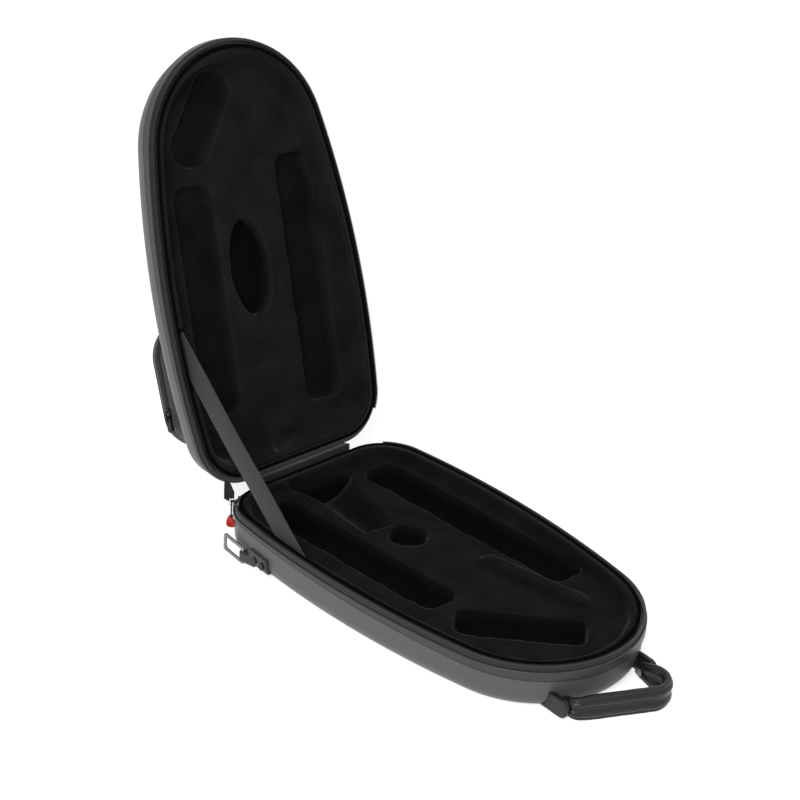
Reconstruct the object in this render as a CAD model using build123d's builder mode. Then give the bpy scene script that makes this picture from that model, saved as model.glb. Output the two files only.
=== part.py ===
from build123d import *
import math
import os

# Clarinet case: egg-shaped zipped hard case with a plush lining, standing open.
# Frame: the case stands on its flat underside, origin at the middle of that face.
# +Z is up, +Y points to the hinge end and -Y to the carrying end with the handle.
# The lid half is modelled shut on the base and then swung open about the hinge.

os.makedirs("parts", exist_ok=True)

# ------------------------------------------------------------------ sizes, mm
# Outline of both halves, seen from above
case_length = 402.0
half_width = 116.0
hinge_corner = 48.0  # radius of the two corners beside the hinge edge
side_bow = 6.0  # how far the sides bow out past those corners
tip_narrowing = 15.0  # half width less the radius of the carrying end

# Shells
base_height = 47.0
base_taper = 2.0
base_edge_round = 18.0
lid_height = 44.0
lid_taper = 6.0
lid_edge_round = 24.0
shell_wall = 3.0
open_angle = 109.0

# Rim bands and the groove for the zip
seam_at_hinge = 9.0  # from the rim down to the seam between band and shell
seam_at_tip = 15.0
band_proud = 1.0
band_round = 0.8
rebate_width = 5.0
rebate_depth = 6.0
lip_width = 3.0
closing_gap = 0.2  # each half stops this far short of the rim plane

# Zip round the case
chain_width = 2.6
chain_depth = 1.9
chain_inset = 0.4
chain_gap = 0.5  # from the rim plane to each chain
chain_round = 0.5
tape_thickness = 1.0
base_zip_end = 50.0  # where each zip half ends, as an angle round the hinge corner
lid_zip_end = 33.0
slider_length = 13.0
slider_height = 7.0
slider_plate = 1.3
slider_clearance = 0.4
slider_web = 0.5
slider_park = 41.5  # where the slider is parked, as an angle round the hinge corner

# Slider bridge, pull and tag
bridge_reach = 3.2
bridge_height = 8.2
bridge_wire = 1.2
pull_width = 6.6
pull_thickness = 1.3
pull_length = 16.0
pull_eye_width = 2.4
pull_eye_length = 4.4
pull_bar = 1.5
pull_play = 0.25  # between the pull's bar and the bottom of its bridge
tag_length = 13.0
tag_width = 8.0
tag_thickness = 2.4
tag_overlap = 2.5

# Fabric hinge and the tab where the zip tape ends
strip_thickness = 1.2
strip_leaf = 12.0
strip_margin = 2.0  # strip ends short of the hinge corners
strip_fit = 0.1
tab_angle = 53.0
tab_thickness = 1.2
tab_reach = 10.0
tab_rise = 10.0
tab_drop = 8.0

# Moulded linings
rim_pad = 5.0
pad_round = 1.8
pad_drop = 2.0  # top of the padded edge below the rim
deck_depth = 11.0
deck_slope = 4.0
well_round = 11.0
well_corner = 12.0
lid_floor_depth = 24.0
lid_floor_slope = 9.0
lid_recess_depth = 6.0
lid_oval_depth = 12.0
recess_round = 2.0

# Wells in the base lining, each from one end to the other
joint_well_width = 40.0
joint_well_floor = 14.0
lower_joint_start = (64.0, 168.0)
lower_joint_end = (72.0, -84.0)
upper_joint_start = (-60.0, 174.0)
upper_joint_end = (-49.0, -46.0)
mouthpiece_start = (-62.0, -70.0)
mouthpiece_end = (14.0, -156.0)
mouthpiece_floor = 16.0
bell_mouth = (6.0, 184.0)
bell_neck = (-10.0, 82.0)
bell_mouth_radius = 39.0
bell_flare_radius = 31.0
bell_throat_radius = 22.5
bell_neck_radius = 18.0
bell_drop = 2.0  # bell axis below the rim
barrel_place = (3.0, 57.0)
barrel_radius = 18.0
barrel_floor = 20.0
hump_start = (27.0, -14.0)
hump_end = (46.0, -124.0)
hump_width = 20.0
hump_rise = 5.0
hump_round = 4.5

# Hollows in the lid lining
lid_upper_start = (-60.0, 140.0)
lid_upper_end = (-48.0, -76.0)
lid_lower_start = (62.0, 158.0)
lid_lower_end = (74.0, -82.0)
lid_joint_width = 42.0
lid_mouthpiece_start = (-52.0, -96.0)
lid_mouthpiece_end = (6.0, -170.0)
lid_mouthpiece_width = 40.0
lid_mouthpiece_corner = 18.0
lid_oval_place = (2.0, 13.0)
lid_oval_length = 92.0
lid_oval_width = 44.0
lid_bell_scale = 0.8

# Lid stay ribbon
stay_width = 25.0
stay_thickness = 1.4
stay_inset = 12.0  # from the widest part of the side in to the ribbon
stay_base_back = 108.0  # from the hinge edge to the ribbon's foot
stay_base_depth = 7.6
stay_lid_back = 137.0
stay_lid_depth = 6.6
stay_tail = 13.0
stay_slot_inset = 16.0
stay_slot_length = 60.0
base_slot_back = 103.0
base_slot_depth = 31.0
lid_slot_back = 128.0
lid_slot_depth = 28.0
stay_plate_length = 26.0
stay_plate_height = 7.0
stay_stud_radius = 1.6
stay_stud_fit = 0.1
stay_stud_head = 3.2
stay_stud_proud = 1.0
stay_stud_spacing = 15.0

# Handle, in its own frame about the middle of the carrying end's arc
handle_turn = -3.5
handle_spread = 88.2
pivot_inset = 1.6  # how much less the pivots reach out than the carrying end does
pivot_z = 12.4
grip_height = 24.0
grip_thickness = 9.0
grip_round = 3.4
root_radius = 8.0
root_taper = 13.0
root_straight = 8.0
grip_lead = 7.5  # straight part of the near root beyond its pivot
grip_bend = 8.0
grip_bends = ((27.0, 37.6), (49.5, 31.6))  # sideways, and beyond the pivots
chape_thickness = 5.0
chape_fit = 0.3
chape_end = 7.0
chape_root = 27.4  # how far each chape reaches back from its pivot
chape_height = 17.6
chape_round = 7.0
floor_gap = 0.4
pin_radius = 2.2
pin_fit = 0.06
pin_head_radius = 3.4
pin_head = 1.2
pin_depth = 3.5  # how far each pin is set into its chape

# Strap rings beside the hinge end
ring_length = 30.0
ring_height = 18.0
ring_wire = 3.2
ring_corner = 3.0
ring_back = 48.0  # from the hinge edge to the middle of each ring's bar
ring_z = 10.4
ring_out = 1.8
loop_wall = 1.8
loop_height = 9.2
ring_fit = 0.08
ring_tab_thickness = 3.0
ring_tab_start = 8.0
ring_tab_length = 36.0
ring_tab_height = 16.0
ring_tab_z = 14.5
ring_wedge = 16.0
ring_rivet_radius = 1.8
ring_rivet_head = 3.6
ring_rivet_proud = 1.2

# Accessory pocket on the outside of the lid
pocket_half_width = 97.0
pocket_low = 30.0  # from the hinge edge to the pocket's near side
pocket_high = 152.0
pocket_corner = 34.0
pocket_depth = 76.0  # from the rim plane to the pocket's outer face
pocket_split = 60.0  # depth of the pocket's zip
pocket_edge_round = 12.0
pocket_wall = 2.6
pocket_gap = 0.15
pocket_groove = 3.2
pocket_tape = 0.9
pocket_tape_inset = 0.9
pocket_chain_width = 2.0
pocket_chain_depth = 1.2
pocket_chain_inset = 0.3
pocket_chain_gap = 0.5
pocket_zip_start = 26.0  # from the pocket's near side to the end of its zip
pocket_slider_length = 11.0
pocket_slider_height = 5.4
pocket_slider_start = 40.0
pocket_slider_fit = 0.3

# ------------------------------------------------------- values that follow
half_length = case_length / 2
rim_z = base_height
rim_width = rebate_width + lip_width
hinge_flat = half_width - side_bow - hinge_corner
tip_radius = half_width - tip_narrowing
pivot_reach = tip_radius - pivot_inset
stay_x = stay_inset - half_width
stay_slot_x = stay_slot_inset - half_width
stay_base_y = half_length - stay_base_back
stay_lid_y = half_length - stay_lid_back
base_slot_y = half_length - base_slot_back
lid_slot_y = half_length - lid_slot_back
ring_y = half_length - ring_back
hinge_y = half_length + band_proud + strip_thickness
hinge_axis = Axis((0, hinge_y, rim_z), (1, 0, 0))


def side_arc():
    """Centre, radius and end angles of the long side arc, which runs on smoothly
    from the hinge corner's arc into the arc of the carrying end."""
    reach = half_width - hinge_flat
    tip_run = case_length - tip_radius
    ratio = tip_narrowing / side_bow
    a = 1 - ratio
    b = 2 * tip_run - 2 * ratio * hinge_corner
    c = tip_run**2 - ratio * reach**2 + half_width**2 - tip_radius**2
    from_hinge = (-b + math.sqrt(b * b - 4 * a * c)) / (2 * a)
    radius = ((from_hinge + hinge_corner) ** 2 + reach**2 - hinge_corner**2) / (2 * side_bow)
    centre = Vector(half_width - radius, half_length + from_hinge)
    to_corner = corner_centre - centre
    to_tip = tip_centre - centre
    start = math.degrees(math.atan2(to_corner.Y, to_corner.X))
    end = math.degrees(math.atan2(to_tip.Y, to_tip.X))
    return centre, radius, start, end


corner_centre = Vector(hinge_flat, half_length - hinge_corner)
tip_centre = Vector(0, tip_radius - half_length)
side_centre, side_radius, side_start, side_end = side_arc()


def egg(inset):
    """Outline of the case seen from above, moved inwards by inset."""
    with BuildSketch() as outline:
        with BuildLine():
            Line((0, half_length - inset), (hinge_flat, half_length - inset))
            CenterArc(corner_centre, hinge_corner - inset, 90, side_start - 90)
            CenterArc(side_centre, side_radius - inset, side_start, side_end - side_start)
            CenterArc(tip_centre, tip_radius - inset, side_end, -90 - side_end)
            mirror(about=Plane.YZ)
        make_face()
    return outline.sketch


def rim_plane(side, depth):
    """Level plane at a depth from the rim: side is -1 into the base, 1 into the lid."""
    return Plane.XY.offset(rim_z + side * depth)


def bowl(side, height, taper, edge_round, inset=0.0, skin=0.0):
    """Solid form of one half, from near the rim out to its rounded far face."""
    with BuildPart() as form:
        with BuildSketch(rim_plane(side, 0)):
            add(egg(inset))
        with BuildSketch(rim_plane(side, height - skin)):
            add(egg(inset + taper))
        loft(ruled=True)
        fillet(form.faces().sort_by(Axis.Z)[-1 if side > 0 else 0].edges(), edge_round)
    return form.part


def seam_plane(side):
    """Sloping plane between a rim band and its shell, lower towards the carrying end."""
    middle = (seam_at_hinge + seam_at_tip) / 2
    rise = (seam_at_tip - seam_at_hinge) / case_length
    return Plane(origin=(0, 0, rim_z + side * middle), x_dir=(1, 0, 0), z_dir=(0, side * rise, 1))


def swing_open(piece):
    """Turn a piece of the shut lid to where it stands with the case open."""
    return piece.rotate(hinge_axis, -open_angle)


def save(piece, label):
    """Label a finished piece and write it as its own STEP file."""
    piece.label = label
    export_step(piece, f"parts/{label}.step")


base_form = bowl(-1, base_height, base_taper, base_edge_round)
lid_form = bowl(1, lid_height, lid_taper, lid_edge_round)

# ------------------------------------------------------------------- shells


def shell(side, form, height, taper, edge_round):
    """Thin moulded shell of one half, open at the seam below its rim band."""
    hollow = bowl(side, height, taper, edge_round - shell_wall, shell_wall, shell_wall)
    with BuildPart() as moulding:
        add(form)
        add(hollow, mode=Mode.SUBTRACT)
        split(bisect_by=seam_plane(side), keep=Keep.TOP if side > 0 else Keep.BOTTOM)
    return moulding.part


base_shell = shell(-1, base_form, base_height, base_taper, base_edge_round)
lid_shell = shell(1, lid_form, lid_height, lid_taper, lid_edge_round)
save(base_shell, "base_shell")
save(swing_open(lid_shell), "lid_shell")

# ---------------------------------------------------------------- rim bands


def rim_band(side):
    """Band round one rim: an inner lip, and a step outside it that holds the zip."""
    deepest = seam_at_tip + seam_at_hinge
    with BuildPart() as band:
        with BuildSketch(rim_plane(side, closing_gap)):
            add(egg(rebate_width))
            add(egg(rim_width), mode=Mode.SUBTRACT)
        extrude(amount=side * deepest)
        with BuildSketch(rim_plane(side, rebate_depth)):
            add(egg(-band_proud))
            add(egg(rebate_width), mode=Mode.SUBTRACT)
        extrude(amount=side * deepest)
        split(bisect_by=seam_plane(side), keep=Keep.BOTTOM if side > 0 else Keep.TOP)
        level = rim_z + side * rebate_depth
        step = band.faces().filter_by(Axis.Z).filter_by_position(Axis.Z, level - 0.1, level + 0.1)
        fillet(step.sort_by(SortBy.AREA)[-1].outer_wire().edges(), band_round)
        level = rim_z + side * closing_gap
        lip = band.faces().filter_by(Axis.Z).filter_by_position(Axis.Z, level - 0.1, level + 0.1)
        fillet(lip.edges(), band_round)
    return band.part


base_rim_band = rim_band(-1)
lid_rim_band = rim_band(1)
save(base_rim_band, "base_rim_band")
save(swing_open(lid_rim_band), "lid_rim_band")

# ------------------------------------------------------- zip round the case
tape_inset = chain_inset + (chain_width - tape_thickness) / 2
chain_end = chain_gap + chain_depth


def zip_ring(side, inset, width, near, far, end_angle, rounding=0.0):
    """Strip of the zip that follows one rim and stops on both hinge corners."""
    end_y = corner_centre.Y + hinge_corner * math.sin(math.radians(end_angle))
    with BuildPart() as ring:
        with BuildSketch(rim_plane(side, near)):
            add(egg(inset))
            add(egg(inset + width), mode=Mode.SUBTRACT)
        extrude(amount=side * (far - near))
        split(bisect_by=Plane.XZ.offset(-end_y), keep=Keep.TOP)
        if rounding:
            rim_face = ring.faces().filter_by(Axis.Z).sort_by(Axis.Z)[0 if side > 0 else -1]
            curves = rim_face.edges().filter_by(GeomType.LINE, reverse=True)
            chamfer(curves, rounding)
    return ring.part


for half, side, end_angle in (("base", -1, base_zip_end), ("lid", 1, lid_zip_end)):
    chain = zip_ring(side, chain_inset, chain_width, chain_gap, chain_end, end_angle, chain_round)
    tape = zip_ring(side, tape_inset, tape_thickness, chain_end, rebate_depth, end_angle)
    save(swing_open(chain) if side > 0 else chain, f"{half}_zip_chain")
    save(swing_open(tape) if side > 0 else tape, f"{half}_zip_tape")


def slider_form(length, height, inner, outer, web, plate, along_z):
    """Zip slider with its outside towards +Y: two plates, a web, and a bridge that
    carries the pull. The chain runs along X, or along Z when along_z is true."""
    with BuildPart() as body:
        with BuildSketch(Plane.XY.offset(-height / 2)):
            with Locations((0, outer - plate / 2)):
                RectangleRounded(length, plate, plate * 0.45)
            with Locations((0, inner + plate / 2)):
                RectangleRounded(length, plate, plate * 0.45)
        extrude(amount=height)
        with Locations((0, (inner + outer) / 2, 0)):
            Box(length * 0.6, outer - inner - plate, web)
    turned = body.part.rotate(Axis.Y, 90) if along_z else body.part
    with BuildPart() as slider:
        add(turned)
        with BuildSketch(Plane.YZ):
            with Locations((outer + bridge_reach / 2 - plate / 2, 0)):
                RectangleRounded(bridge_reach + plate, bridge_height, bridge_wire)
            with Locations((outer + bridge_reach / 2 - bridge_wire / 2, 0)):
                eye = bridge_reach - bridge_wire
                Rectangle(eye, bridge_height - 2 * bridge_wire, mode=Mode.SUBTRACT)
        extrude(amount=bridge_wire / 2, both=True)
    return slider.part


def pull_form(outer):
    """Flat pull hanging from a slider's bridge towards -Z, and its swing centre."""
    pivot_y = outer + (bridge_reach - bridge_wire) / 2
    pivot_z = bridge_wire - bridge_height / 2 + pull_play + pull_bar / 2
    with BuildPart() as pull:
        with BuildSketch(Plane.XZ.offset(-pivot_y)):
            with Locations((0, pivot_z + pull_bar / 2 - pull_length / 2)):
                RectangleRounded(pull_width, pull_length, pull_width * 0.4)
            with Locations((0, pivot_z - pull_bar / 2 - pull_eye_length / 2)):
                Rectangle(pull_eye_width, pull_eye_length, mode=Mode.SUBTRACT)
        extrude(amount=pull_thickness / 2, both=True)
    return pull.part, pivot_y, pivot_z


# On the left hinge corner: drawn with the rim along X and the outside towards +Y
slider_outer = slider_clearance - chain_inset + slider_plate
slider_inner = -chain_inset - chain_width - slider_clearance - slider_plate
left_corner = (-corner_centre.X, corner_centre.Y, rim_z)
parked = Location(left_corner, (0, 0, 90 - slider_park)) * Location((0, hinge_corner, 0))
zip_slider = slider_form(
    slider_length, slider_height, slider_inner, slider_outer, slider_web, slider_plate, False
)
zip_pull, pull_y, pull_z = pull_form(slider_outer)
with BuildPart() as zip_tag:
    tag_top = pull_z + pull_bar / 2 - pull_length + tag_overlap
    with BuildSketch(Plane.XZ.offset(-pull_y)):
        with Locations((0, tag_top - tag_length / 2)):
            RectangleRounded(tag_width, tag_length, tag_width * 0.35)
    extrude(amount=tag_thickness / 2, both=True)
    fillet(zip_tag.edges().filter_by(Axis.Y, reverse=True), tag_thickness * 0.3)
    add(zip_pull, mode=Mode.SUBTRACT)
save(zip_slider.moved(parked), "zip_slider")
save(zip_pull.moved(parked), "zip_pull")
save(zip_tag.part.moved(parked), "zip_tag")

# --------------------------------------------------- fabric hinge, end tab
with BuildPart() as hinge_strip:
    with BuildSketch(Plane.YZ):
        with BuildLine():
            inner_top = Vector(-strip_thickness, 0).rotate(Axis.Z, -open_angle)
            inner_end = Vector(-strip_thickness, strip_leaf).rotate(Axis.Z, -open_angle)
            outer_end = Vector(0, strip_leaf).rotate(Axis.Z, -open_angle)
            Polyline(
                (-strip_thickness, -strip_leaf),
                (-strip_thickness, 0),
                inner_top,
                inner_end,
                outer_end,
                (0, 0),
                (0, -strip_leaf),
                close=True,
            )
        make_face()
    extrude(amount=hinge_flat - strip_margin, both=True)
save(hinge_strip.part.moved(Location((0, hinge_y, rim_z))), "hinge_strip")

with BuildPart() as zip_end_tab:
    root = hinge_corner + band_proud
    with BuildSketch(Plane.XZ):
        with BuildLine():
            Polyline(
                (root, -tab_drop),
                (root + tab_reach, -tab_drop * 0.4),
                (root + tab_reach, tab_rise),
                (root + tab_reach * 0.5, tab_rise),
                (root + strip_fit, tab_rise * 0.3),
                close=True,
            )
        make_face()
    extrude(amount=tab_thickness / 2, both=True)
save(zip_end_tab.part.moved(Location(left_corner, (0, 0, 180 - tab_angle))), "zip_end_tab")

# ------------------------------------------------ ribbon that stays the lid
stay_foot = Vector(stay_x, stay_base_y, rim_z - stay_base_depth)
stay_head_shut = Vector(stay_x, stay_lid_y, rim_z + stay_lid_depth)
lid_turn = Location((0, hinge_y, rim_z), (-open_angle, 0, 0)) * Location((0, -hinge_y, -rim_z))
stay_head = (lid_turn * Location(stay_head_shut)).position


def stay_form(width, outer_x, inner_x, tail):
    """Flat strip along the ribbon, from its foot on the base to its head on the lid."""
    run = stay_head - stay_foot
    middle = (stay_head + stay_foot) / 2
    with BuildPart() as ribbon:
        start = (inner_x, middle.Y, middle.Z)
        with BuildSketch(Plane(origin=start, x_dir=run, z_dir=(-1, 0, 0))):
            Rectangle(run.length + 2 * tail, width)
        extrude(amount=inner_x - outer_x)
    return ribbon.part


def stay_studs(y, level, band, grow=0.0):
    """Two studs that hold one end of the ribbon, as a tool or as the studs themselves."""
    with BuildPart() as studs:
        for place in (y - stay_stud_spacing / 2, y + stay_stud_spacing / 2):
            start = -wall_x(y, rim_width) - band_round
            with Locations(Location((start, place, level), (0, 90, 0))):
                reach = stay_x + stay_thickness / 2 - start
                Cylinder(
                    stay_stud_radius + grow,
                    reach,
                    align=(Align.CENTER, Align.CENTER, Align.MIN),
                )
            with Locations(Location((stay_x + stay_thickness / 2, place, level), (0, 90, 0))):
                Cone(
                    stay_stud_head,
                    stay_stud_head * 0.5,
                    stay_stud_proud,
                    align=(Align.CENTER, Align.CENTER, Align.MIN),
                )
        add(band, mode=Mode.SUBTRACT)
    return studs.part


def wall_x(y, inset):
    """Distance from the middle to the long side's outline, moved in by inset."""
    return side_centre.X + math.sqrt((side_radius - inset) ** 2 - (y - side_centre.Y) ** 2)


def stay_plate(y, level, studs):
    """Backing plate between the rim band and one end of the ribbon."""
    outer = stay_x - stay_thickness / 2
    with BuildPart() as plate:
        with BuildSketch(Plane.XY.offset(level - stay_plate_height / 2)):
            with Locations((outer - shell_wall, y)):
                Rectangle(2 * shell_wall, stay_plate_length)
            add(egg(rim_width), mode=Mode.INTERSECT)
        extrude(amount=stay_plate_height)
        fillet(plate.edges().filter_by(Axis.X), band_round)
        add(studs, mode=Mode.SUBTRACT)
    return plate.part


base_level = rim_z - stay_base_depth
lid_level = rim_z + stay_lid_depth
base_studs = stay_studs(stay_base_y, base_level, base_rim_band)
lid_studs = stay_studs(stay_lid_y, lid_level, lid_rim_band)
save(stay_plate(stay_base_y, base_level, base_studs), "stay_plate_base")
save(swing_open(stay_plate(stay_lid_y, lid_level, lid_studs)), "stay_plate_lid")
save(base_studs, "stay_studs_base")
save(swing_open(lid_studs), "stay_studs_lid")
with BuildPart() as lid_stay_strap:
    half = stay_thickness / 2
    add(stay_form(stay_width, stay_x - half, stay_x + half, stay_tail))
    add(base_studs, mode=Mode.SUBTRACT)
    loose_studs = stay_studs(stay_lid_y, lid_level, lid_rim_band, stay_stud_fit)
    add(swing_open(loose_studs), mode=Mode.SUBTRACT)
save(lid_stay_strap.part, "lid_stay_strap")


def stay_slot(middle_y, side, depth):
    """Slot in a lining beside the rim that leaves room for one end of the ribbon."""
    with BuildPart() as slot:
        with Locations((stay_slot_x, middle_y, rim_z)):
            Box(
                half_width,
                stay_slot_length,
                depth,
                align=(Align.MAX, Align.CENTER, Align.MIN if side > 0 else Align.MAX),
            )
    return slot.part


# ----------------------------------------------------------------- linings


def between(start, end):
    """Place and turn of a long shape laid from one point to another, and its length."""
    run = Vector(*end) - Vector(*start)
    middle = (Vector(*end) + Vector(*start)) / 2
    return Location((middle.X, middle.Y, 0), (0, 0, math.degrees(math.atan2(run.Y, run.X)))), run.length


def well(start, end, width, corner, top, floor, rounding):
    """Long well or hollow between two heights, rounded where its walls meet its floor."""
    place, length = between(start, end)
    with BuildPart() as hollow:
        with BuildSketch(Plane.XY.offset(top)):
            RectangleRounded(length, width, corner)
        extrude(amount=floor - top)
        fillet(hollow.faces().sort_by(Axis.Z)[0 if floor < top else -1].edges(), rounding)
    return hollow.part.moved(place)


def bell_form(scale):
    """Flared round form of the bell, lying along its well."""
    run = Vector(*bell_neck) - Vector(*bell_mouth)
    start = Vector(bell_mouth[0], bell_mouth[1], rim_z - bell_drop)
    lie = Plane(origin=start, x_dir=(run.X, run.Y, 0), z_dir=(0, 0, 1))
    with BuildPart() as form:
        with BuildSketch(lie):
            with BuildLine():
                flare = Spline(
                    (0, bell_mouth_radius * scale),
                    (run.length * 0.12, bell_flare_radius * scale),
                    (run.length * 0.42, bell_throat_radius * scale),
                    (run.length, bell_neck_radius * scale),
                )
                Polyline(flare @ 1, (run.length, 0), (0, 0), flare @ 0)
            make_face()
        revolve(axis=Axis(start, (run.X, run.Y, 0)))
    return form.part


def lining(side, height, taper, edge_round):
    """Solid lining that fills one shell and stands up inside its rim band."""
    body = bowl(side, height, taper, edge_round - shell_wall, shell_wall, shell_wall)
    with BuildPart() as foam:
        add(body)
        split(bisect_by=seam_plane(side), keep=Keep.TOP if side > 0 else Keep.BOTTOM)
        with BuildSketch(rim_plane(side, pad_drop)):
            add(egg(rim_width))
        extrude(amount=side * (seam_at_tip + seam_at_hinge))
    return foam.part


def tray(side, floor_depth, slope):
    """Open space inside a padded edge, with sloping sides down to a flat floor."""
    with BuildPart() as space:
        with BuildSketch(rim_plane(side, 0)):
            add(egg(rim_width + rim_pad))
        with BuildSketch(rim_plane(side, floor_depth)):
            add(egg(rim_width + rim_pad + slope))
        loft(ruled=True)
    return space.part


def at_level(edges_or_faces, level):
    """Those that lie level at the given height."""
    return edges_or_faces.filter_by_position(Axis.Z, level - 0.05, level + 0.05)


deck_z = rim_z - deck_depth


with BuildPart() as base_liner:
    add(lining(-1, base_height, base_taper, base_edge_round))
    add(tray(-1, deck_depth, deck_slope), mode=Mode.SUBTRACT)
    pad_top = rim_z - pad_drop
    fillet(at_level(base_liner.faces().filter_by(Axis.Z), pad_top).edges(), pad_round)
    base_wells = (
        (lower_joint_start, lower_joint_end, joint_well_floor),
        (upper_joint_start, upper_joint_end, joint_well_floor),
        (mouthpiece_start, mouthpiece_end, mouthpiece_floor),
    )
    for start, end, floor in base_wells:
        add(
            well(start, end, joint_well_width, well_corner, deck_z, floor, well_round),
            mode=Mode.SUBTRACT,
        )
    add(bell_form(1.0), mode=Mode.SUBTRACT)
    with Locations((*barrel_place, deck_z)):
        Cylinder(
            barrel_radius,
            deck_z - barrel_floor,
            align=(Align.CENTER, Align.CENTER, Align.MAX),
            mode=Mode.SUBTRACT,
        )
    hump_corner = hump_width * 0.45
    hump_top = deck_z + hump_rise
    add(well(hump_start, hump_end, hump_width, hump_corner, deck_z, hump_top, hump_round))
    add(stay_slot(base_slot_y, -1, base_slot_depth), mode=Mode.SUBTRACT)
save(base_liner.part, "base_liner")

lid_floor_z = rim_z + lid_floor_depth
with BuildPart() as lid_liner:
    add(lining(1, lid_height, lid_taper, lid_edge_round))
    add(tray(1, lid_floor_depth, lid_floor_slope), mode=Mode.SUBTRACT)
    pad_top = rim_z + pad_drop
    fillet(at_level(lid_liner.faces().filter_by(Axis.Z), pad_top).edges(), pad_round)
    lid_wells = (
        (lid_upper_start, lid_upper_end, lid_joint_width, well_corner, lid_recess_depth),
        (lid_lower_start, lid_lower_end, lid_joint_width, well_corner, lid_recess_depth),
        (
            lid_mouthpiece_start,
            lid_mouthpiece_end,
            lid_mouthpiece_width,
            lid_mouthpiece_corner,
            lid_recess_depth,
        ),
    )
    for start, end, width, corner, depth in lid_wells:
        add(
            well(start, end, width, corner, lid_floor_z, lid_floor_z + depth, recess_round),
            mode=Mode.SUBTRACT,
        )
    with BuildSketch(Plane.XY.offset(lid_floor_z)):
        with Locations(lid_oval_place):
            Ellipse(lid_oval_width / 2, lid_oval_length / 2)
    extrude(amount=lid_oval_depth, mode=Mode.SUBTRACT)
    add(bell_form(lid_bell_scale), mode=Mode.SUBTRACT)
    add(stay_slot(lid_slot_y, 1, lid_slot_depth), mode=Mode.SUBTRACT)
save(swing_open(lid_liner.part), "lid_liner")

# ------------------------------------------------------------------ handle
handle_place = Location((0, tip_centre.Y, 0), (0, 0, handle_turn))
root_x = handle_spread / 2
with BuildPart() as handle:
    with BuildSketch(Plane.XY.offset(floor_gap)):
        with BuildLine():
            FilletPolyline(
                (-root_x, -pivot_reach + root_radius),
                (-root_x, -pivot_reach - grip_lead),
                *((x, -pivot_reach - beyond) for x, beyond in grip_bends),
                (root_x, -pivot_reach - root_straight),
                (root_x, -pivot_reach + root_radius),
                radius=grip_bend,
            )
        trace(line_width=grip_thickness)
    extrude(amount=grip_height)
    ends = handle.faces().filter_by(Axis.Z).edges()
    fillet(ends, grip_round)
    with BuildSketch(Plane.YZ):
        with Locations((-pivot_reach, pivot_z)):
            Circle(root_radius)
        reach = pivot_reach + root_taper
        with BuildLine():
            Polyline(
                (-pivot_reach, pivot_z - root_radius),
                (-pivot_reach, pivot_z + root_radius),
                (-reach, floor_gap + grip_height),
                (-2 * reach, floor_gap + grip_height),
                (-2 * reach, floor_gap),
                (-reach, floor_gap),
                close=True,
            )
        make_face()
    extrude(amount=handle_spread, both=True, mode=Mode.INTERSECT)
    with Locations(Location((0, -pivot_reach, pivot_z), (0, 90, 0))):
        Cylinder(pin_radius + pin_fit, handle_spread * 1.5, mode=Mode.SUBTRACT)
save(handle.part.moved(handle_place), "handle_grip")

chape_inner = root_x + grip_thickness / 2 + chape_fit
with BuildPart() as pins:
    for hand in (-1, 1):
        inner = root_x - grip_thickness / 2 - chape_fit
        length = chape_inner + pin_depth - inner
        with Locations(Location((hand * (inner + length / 2), -pivot_reach, pivot_z), (0, 90, 0))):
            Cylinder(pin_radius, length)
        with Locations(Location((hand * (inner - pin_head / 2), -pivot_reach, pivot_z), (0, 90, 0))):
            Cylinder(pin_head_radius, pin_head)
save(pins.part.moved(handle_place), "handle_pins")

for hand, name in ((-1, "left"), (1, "right")):
    with BuildPart() as fin:
        with BuildSketch(Plane.YZ.offset(hand * (chape_inner + chape_thickness / 2))):
            middle = (chape_root - chape_end) / 2 - pivot_reach
            with Locations((middle, pivot_z)):
                Rectangle(chape_root + chape_end, chape_height)
        extrude(amount=chape_thickness / 2, both=True)
        outer_end = fin.faces().sort_by(Axis.Y)[0]
        fillet(outer_end.edges().filter_by(Axis.X), chape_round)
        add(pins.part, mode=Mode.SUBTRACT)
    with BuildPart() as chape:
        add(fin.part.moved(handle_place))
        add(base_form, mode=Mode.SUBTRACT)
    save(chape.part, f"handle_chape_{name}")

# ------------------------------------------------------------ strap rings
wall_turn = math.degrees(math.asin((ring_y - side_centre.Y) / side_radius))
ring_place = Location((wall_x(ring_y, 0), ring_y, 0), (0, 0, wall_turn))
leather = ring_tab_thickness
tab_skin = bowl(-1, base_height, base_taper, base_edge_round + leather, -leather, -leather)
loop_radius = ring_wire / 2 + ring_fit + loop_wall
bar_place = Location((ring_out, 0, ring_z))
with BuildPart() as ring:
    with BuildSketch(Plane.YZ.offset(ring_out)):
        with Locations((ring_length / 2, ring_z)):
            RectangleRounded(ring_length + ring_wire, ring_height, ring_corner)
            inside = (ring_length - ring_wire, ring_height - 2 * ring_wire)
            RectangleRounded(*inside, ring_corner - ring_wire * 0.6, mode=Mode.SUBTRACT)
    extrude(amount=ring_wire / 2, both=True)
    fillet(ring.faces().filter_by(Axis.X).edges(), ring_wire * 0.49)
with BuildPart() as tab:
    with BuildSketch(Plane.YZ.offset(-4 * leather)):
        with Locations((-(ring_tab_start + ring_tab_length) / 2, ring_tab_z)):
            RectangleRounded(ring_tab_length - ring_tab_start, ring_tab_height, 2 * band_round)
    extrude(amount=8 * leather)
with BuildPart() as wedge:
    with BuildSketch(Plane.XY.offset(ring_z - loop_height / 2)):
        with Locations((ring_out, 0)):
            Circle(loop_radius)
        with BuildLine():
            Polyline(
                (-3 * leather, -ring_wedge),
                (leather * 0.2, -ring_wedge),
                (ring_out + loop_radius, 0),
                (-3 * leather, 0),
                close=True,
            )
        make_face()
    extrude(amount=loop_height)
with BuildPart() as shanks:
    for place in (ring_wedge + 2, ring_tab_length - 6):
        with Locations(Location((-3 * leather, -place, ring_tab_z), (0, 90, 0))):
            Cylinder(ring_rivet_radius, 6 * leather, align=(Align.CENTER, Align.CENTER, Align.MIN))
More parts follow.
